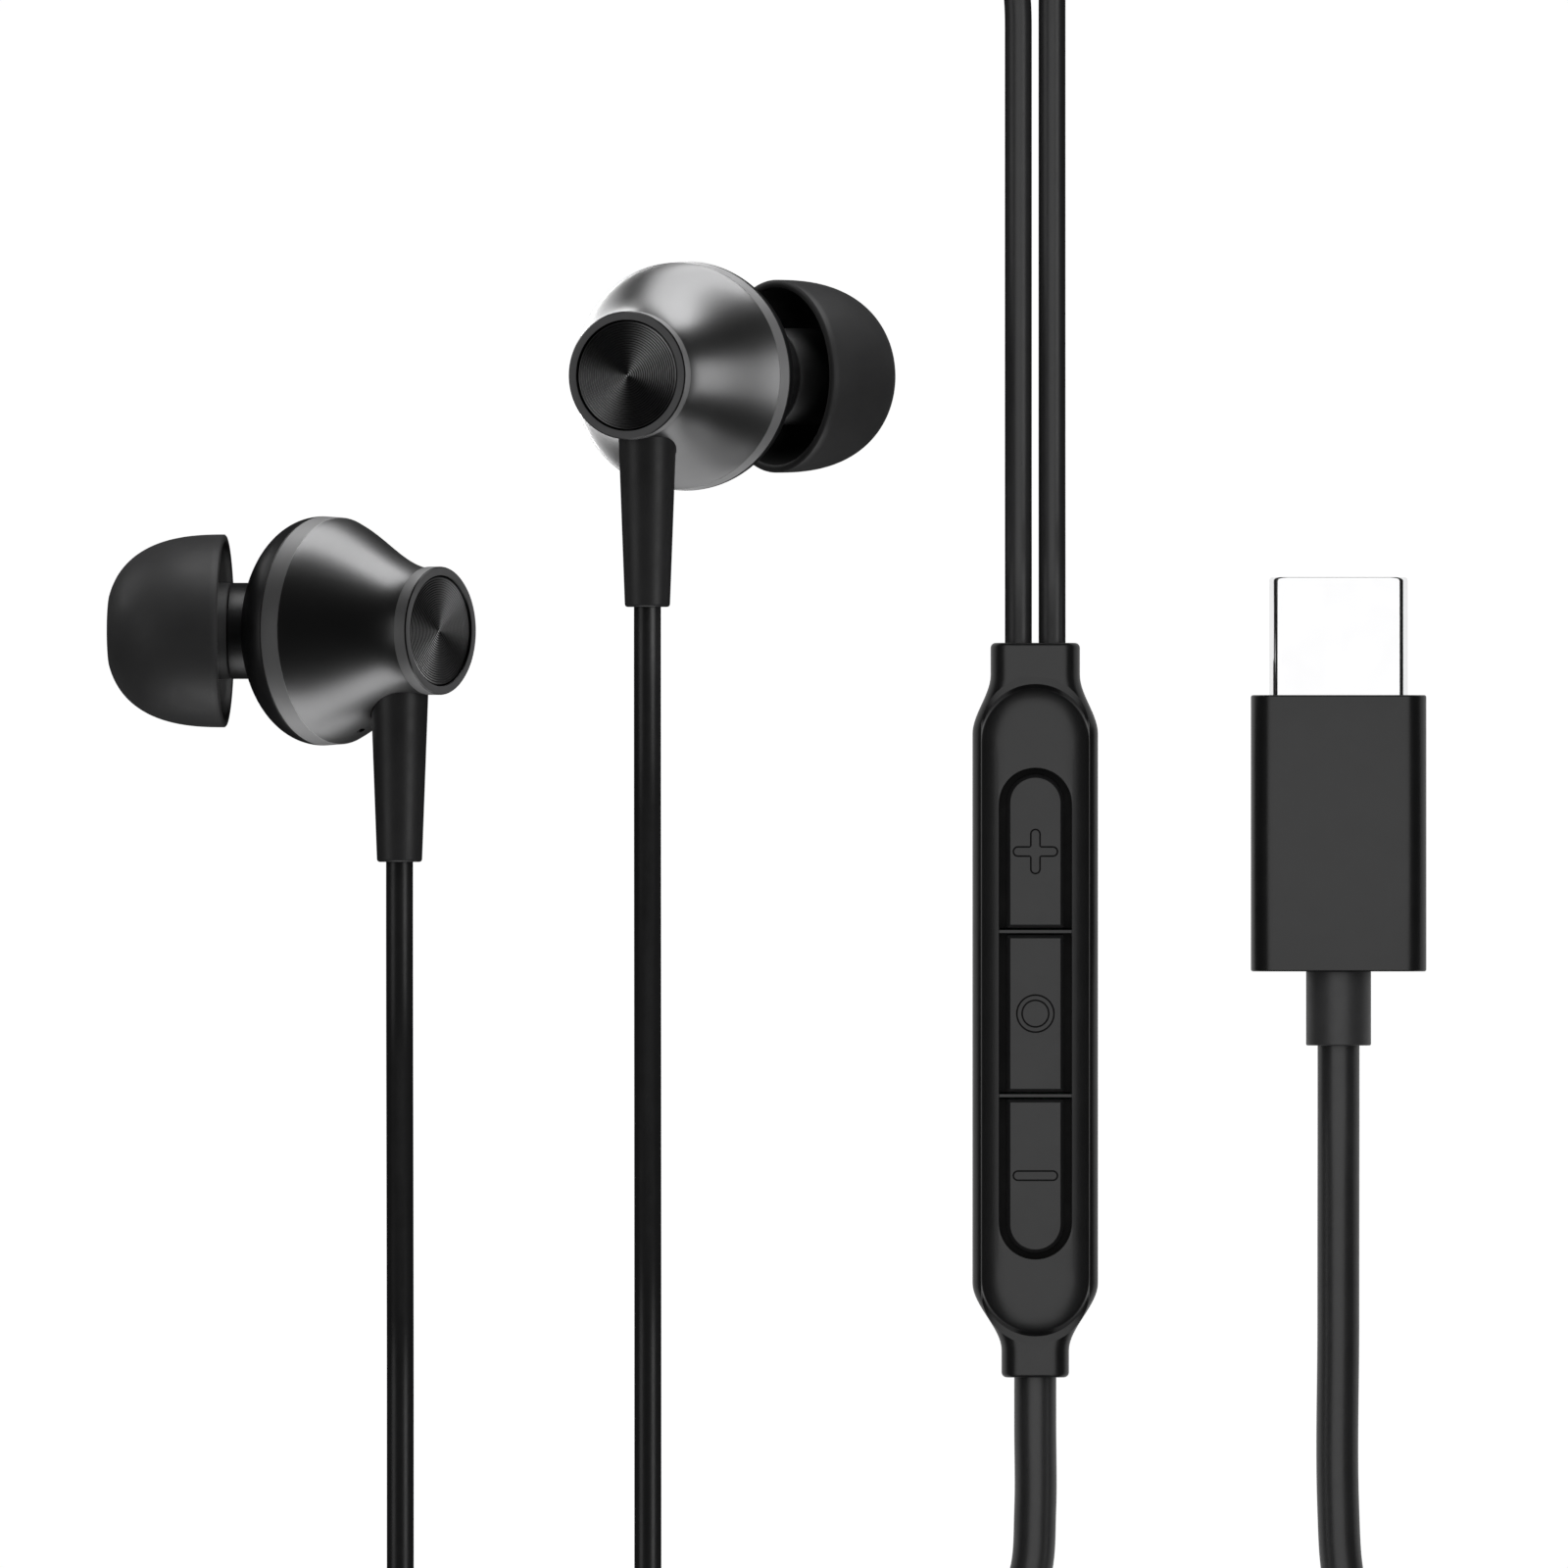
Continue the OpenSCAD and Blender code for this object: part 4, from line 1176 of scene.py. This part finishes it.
def makePlug():
    plug = plugSettings
    wide, long, thick = plug["body"]
    edge, bevel, half = plug["edgeRound"], plug["endBevel"], long / 2
    shellWide, shellThick = plug["shell"]
    pocketWide, pocketThick = shellWide + plug["clearance"], shellThick + plug["clearance"]
    pocket = (pocketWide, pocketThick, pocketThick / 2)
    rings = [sectionRing(wide - 2 * bevel, thick - 2 * bevel, edge - bevel, -half),
             sectionRing(wide - 0.07, thick - 0.07, edge - 0.035, -half + 0.035),
             sectionRing(wide, thick, edge, -half + bevel),
             sectionRing(wide, thick, edge, half - bevel),
             sectionRing(wide - 0.07, thick - 0.07, edge - 0.035, half - 0.035),
             sectionRing(wide - 2 * bevel, thick - 2 * bevel, edge - bevel, half),
             sectionRing(*pocket, half), sectionRing(*pocket, half - plug["tail"]),
             sectionRing(*plug["cavity"], half - plug["tail"]),
             sectionRing(*plug["cavity"], -half + 0.2)]
    body = skinRings("plugBody", rings, "plug_plastic", plugPlace, sharp=40)
    settle(body, mainBody, "plug_plastic", "plug_body")

    front, sheet = half + plug["shown"], plug["sheet"]
    back = half - plug["tail"]

    def tube(inset, y):
        size = (shellWide - 2 * inset, shellThick - 2 * inset)
        return sectionRing(*size, size[1] / 2, y)
    rings = [tube(0, back), tube(0, front - 0.2), tube(0.03, front - 0.08), tube(0.1, front),
             tube(sheet - 0.04, front), tube(sheet, front - 0.06), tube(sheet, back)]
    shell = skinRings("plugShell", rings, "plug_metal", plugPlace, loop=True, sharp=40)
    settle(shell, mainBody, "plug_metal", "plug_shell")

    radius, end = plug["sleeveRadius"], -half - plug["sleeveLength"]
    outline = roundCorners([(0, end + 0.15), (1.27, end + 0.15), (1.29, end, 0.04),
                            (radius, end, 0.12), (radius, -half, 0.05), (0, -half)], 6)
    turned = plugPlace @ Matrix.Rotation(math.radians(-90), 4, "X")
    sleeve = turnPiece("plugSleeve", outline, "stem_rubber", turned, steps=112, sharp=40)
    settle(sleeve, mainBody, "plug_plastic", "plug_sleeve")
    return [body, shell, sleeve]


plugPieces = makePlug()
print("plug made")

tieSettings = {"width": 4, "thickness": 0.4, "ridges": 5, "ridgeDepth": 0.1}


# A ribbed rubber loop round the coil's windings
def makeTie():
    tie = tieSettings
    low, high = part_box("coil_tie")
    centre = (low + high) / 2
    long, tall = (high.y - low.y) / mm, (high.z - low.z) / mm
    half, thick = tie["width"] / 2, tie["thickness"]

    def loopRing(inset, x, radius):
        outline = roundCorners([(-long / 2 + inset, -tall / 2 + inset, radius),
                                (long / 2 - inset, -tall / 2 + inset, radius),
                                (long / 2 - inset, tall / 2 - inset, radius),
                                (-long / 2 + inset, tall / 2 - inset, radius)], 10)
        return [(x, y, z) for y, z in outline]
    rings = [loopRing(thick, -half, 0.5), loopRing(0.12, -half, 0.8)]
    steps = tie["ridges"] * 8
    for k in range(steps + 1):
        wave = 0.5 + 0.5 * math.cos(2 * math.pi * (k / steps * tie["ridges"] + 0.5))
        x = -half + 0.1 + (2 * half - 0.2) * k / steps
        rings.append(loopRing(tie["ridgeDepth"] * (1 - wave), x, 0.9))
    rings += [loopRing(0.12, half, 0.8), loopRing(thick, half, 0.5)]
    piece = skinRings("coilTie", rings, "tie_rubber", Matrix.Translation(centre), loop=True,
                      sharp=50)
    return settle(piece, mainBody, "tie_rubber", "coil_tie")


coilTie = makeTie()

# Parts inside: the CAD solids with their own finishes
insideFinishes = {
    "driver_frame": "frame_plastic", "driver_diaphragm": "film", "voice_coil": "copper",
    "driver_top_plate": "plated_steel", "driver_magnet": "plated_steel",
    "driver_yoke": "plated_steel", "vent_mesh": "vent_cloth", "cord_knot": "cord_jacket",
}
nodeFinishes = {side + "_" + part: finish for side in sides
                for part, finish in insideFinishes.items()}
nodeFinishes.update({
    "remote_circuit_board": "board", "key_switches": "switch_metal",
    "remote_microphone": "microphone_can", "remote_chip": "chip",
    "remote_cord_anchors": "cord_jacket", "plug_insulator": "chip",
    "plug_contacts": "contact_gold", "plug_circuit_board": "board",
    "plug_converter_chip": "chip",
})
for node, finish in nodeFinishes.items():
    cadNodes[node].data.materials.clear()
    cadNodes[node].data.materials.append(materials[finish])
print("inside parts finished")

# The floor is pure white and takes no shadow; it lies low enough for a pulled ear tip
floorSettings = {"size": 6.0, "z": -0.0035, "colour": (0.9, 0.9, 0.895), "glow": 1.0}
worldSettings = {"colour": (1, 1, 1), "strength": 0.012}
metalPieces = {side: [side + part for part in ("RearShell", "CapRing", "SpunDisc")]
               for side in sides}
darkPieces = [side + part for side in sides
              for part in ("EarTip", "FrontCover", "Stem", "NozzleGauze", "EarCord")]
remotePieces = ["remoteBack", "remoteFront", "upperRib", "lowerRib", "volumeUpKey", "playKey",
                "volumeDownKey"]
plugPieceNames = ["plugBody", "plugSleeve"]
# Soft boxes: bearing in degrees from +x, height in degrees above the table; the dark parts
# of the ear pieces have their own set, and so has the metal of each side
lightSettings = {
    "backBox": {"bearing": 82, "height": 8, "size": (0.9, 0.75), "glow": 3.6},
    "frontBox": {"bearing": 272, "height": 5, "size": (0.9, 0.7), "glow": 2.4},
    "rightBox": {"bearing": 0, "height": 43, "size": (0.7, 0.45), "glow": 1.8},
    "leftBox": {"bearing": 180, "height": 30, "size": (0.8, 0.5), "glow": 0.9},
    "lowBox": {"bearing": 145, "height": -18, "size": (0.5, 0.4), "glow": 2.6},
}
metalLights = {
    "left": {
        "leftBack": {"bearing": 84, "height": -12, "size": (0.85, 0.75), "glow": 2.6},
        "leftFront": {"bearing": 276, "height": -2, "size": (1.1, 1.1), "glow": 1.5},
        "leftSide": {"bearing": 180, "height": 20, "size": (0.7, 0.5), "glow": 0.35},
        "leftFace": {"bearing": 0, "height": -27, "size": (0.7, 0.6), "glow": 0.6},
    },
    "right": {
        "rightBack": {"bearing": 84, "height": -22, "size": (0.95, 0.62), "glow": 3.8},
        "rightSide": {"bearing": 0, "height": 6, "size": (0.62, 0.8), "glow": 1.35},
        "rightFront": {"bearing": 278, "height": -22, "size": (1.15, 1.1), "glow": 1.0},
        "rightFace": {"bearing": 180, "height": 38, "size": (0.7, 0.6), "glow": 0.5},
        "rightUnder": {"bearing": 135, "height": -76, "size": (0.5, 0.4), "glow": 7.5},
        "rightLow": {"bearing": 225, "height": -74, "size": (0.4, 0.4), "glow": 2.5},
        "rightRim": {"bearing": 146, "height": -38, "size": (0.3, 0.3), "glow": 4.0},
    },
}
boxDistance = 1.0
# Panels level with the table that light only the pieces named; below it they face up
panelLights = {
    "remotePanel": {"centre": (0.0257, -0.0153), "height": 0.05, "size": (0.06, 0.13),
                    "glow": 1.2, "pieces": remotePieces},
    "plugPanel": {"centre": (0.0437, -0.005), "height": 0.05, "size": (0.06, 0.11),
                  "glow": 1.2, "pieces": plugPieceNames},
    "mainCordPanel": {"centre": (0.0257, -0.045), "height": 0.0085, "size": (0.008, 0.05),
                      "glow": 1.2, "pieces": ["mainCord", "coilTie"]},
    "plugCordPanel": {"centre": (0.0437, -0.035), "height": 0.0085, "size": (0.008, 0.05),
                      "glow": 1.2, "pieces": ["mainCord", "coilTie"]},
    "earCordPanel": {"centre": (0.0257, 0.035), "height": 0.03, "size": (0.03, 0.05),
                     "glow": 1.1, "pieces": ["leftEarCord", "rightEarCord"]},
    "underPanel": {"centre": (0.03, 0.0), "height": -0.06, "size": (1.2, 1.2), "glow": 0.6,
                   "pieces": remotePieces + plugPieceNames + ["mainCord", "coilTie"]},
    "shellPanel": {"centre": (0.0437, 0.0155), "height": 0.03, "size": (0.163, 0.163),
                   "glow": 1.08, "pieces": ["plugShell"]},
    "shellUnderPanel": {"centre": (0.0437, 0.0155), "height": -0.06, "size": (0.82, 0.82),
                        "glow": 0.9, "pieces": ["plugShell"]},
}


def makeFloor(settings):
    half = settings["size"] / 2
    mesh = bpy.data.meshes.new("floor")
    mesh.from_pydata([(-half, -half, settings["z"]), (half, -half, settings["z"]),
                      (half, half, settings["z"]), (-half, half, settings["z"])],
                     [], [(0, 1, 2, 3)])
    floor = addObject("floor", mesh)
    material = bpy.data.materials.new("paleFloor")
    material.use_nodes = True
    shader = material.node_tree.nodes["Principled BSDF"]
    shader.inputs["Base Color"].default_value = (*settings["colour"], 1)
    shader.inputs["Roughness"].default_value = 0.9
    shader.inputs["Specular IOR Level"].default_value = 0.1
    shader.inputs["Emission Color"].default_value = (1, 1, 1, 1)
    shader.inputs["Emission Strength"].default_value = settings["glow"]
    mesh.materials.append(material)
    floor.visible_diffuse = False  # keeps the blacks deep: the floor doesn't light the set
    floor.visible_glossy = False
    floor.visible_shadow = False


def makeSoftBox(name, place, aim, size, glow):
    light = bpy.data.lights.new(name, "AREA")
    light.shape = "RECTANGLE"
    light.size, light.size_y = size
    light.energy = glow * math.pi * size[0] * size[1]
    box = addObject(name, light)
    box.location = place
    box.rotation_mode = "QUATERNION"
    box.rotation_quaternion = (Vector(aim) - Vector(place)).to_track_quat("-Z", "Y")
    return box


def lightOnly(name, box, pieces):
    lit = bpy.data.collections.new(name + "Lit")
    for piece in pieces:
        lit.objects.link(bpy.data.objects[piece])
    box.light_linking.receiver_collection = lit


makeFloor(floorSettings)
aim = Vector(cameraSettings["aim"])
for boxes, pieces in ((lightSettings, darkPieces), (metalLights["left"], metalPieces["left"]),
                      (metalLights["right"], metalPieces["right"])):
    for name, box in boxes.items():
        bearing, height = math.radians(box["bearing"]), math.radians(box["height"])
        way = Vector((math.cos(height) * math.cos(bearing),
                      math.cos(height) * math.sin(bearing), math.sin(height)))
        made = makeSoftBox(name, aim + way * boxDistance, aim, box["size"], box["glow"])
        lightOnly(name, made, pieces)
for name, panel in panelLights.items():
    place = Vector((*panel["centre"], panel["height"]))
    made = makeSoftBox(name, place, Vector((*panel["centre"], 0)), panel["size"], panel["glow"])
    lightOnly(name, made, panel["pieces"])

world = bpy.context.scene.world or bpy.data.worlds.new("studio")
bpy.context.scene.world = world
world.use_nodes = True
background = world.node_tree.nodes["Background"]
background.inputs["Color"].default_value = (*worldSettings["colour"], 1)
background.inputs["Strength"].default_value = worldSettings["strength"]
bpy.context.scene.view_settings.view_transform = "Standard"
print("floor and light set")
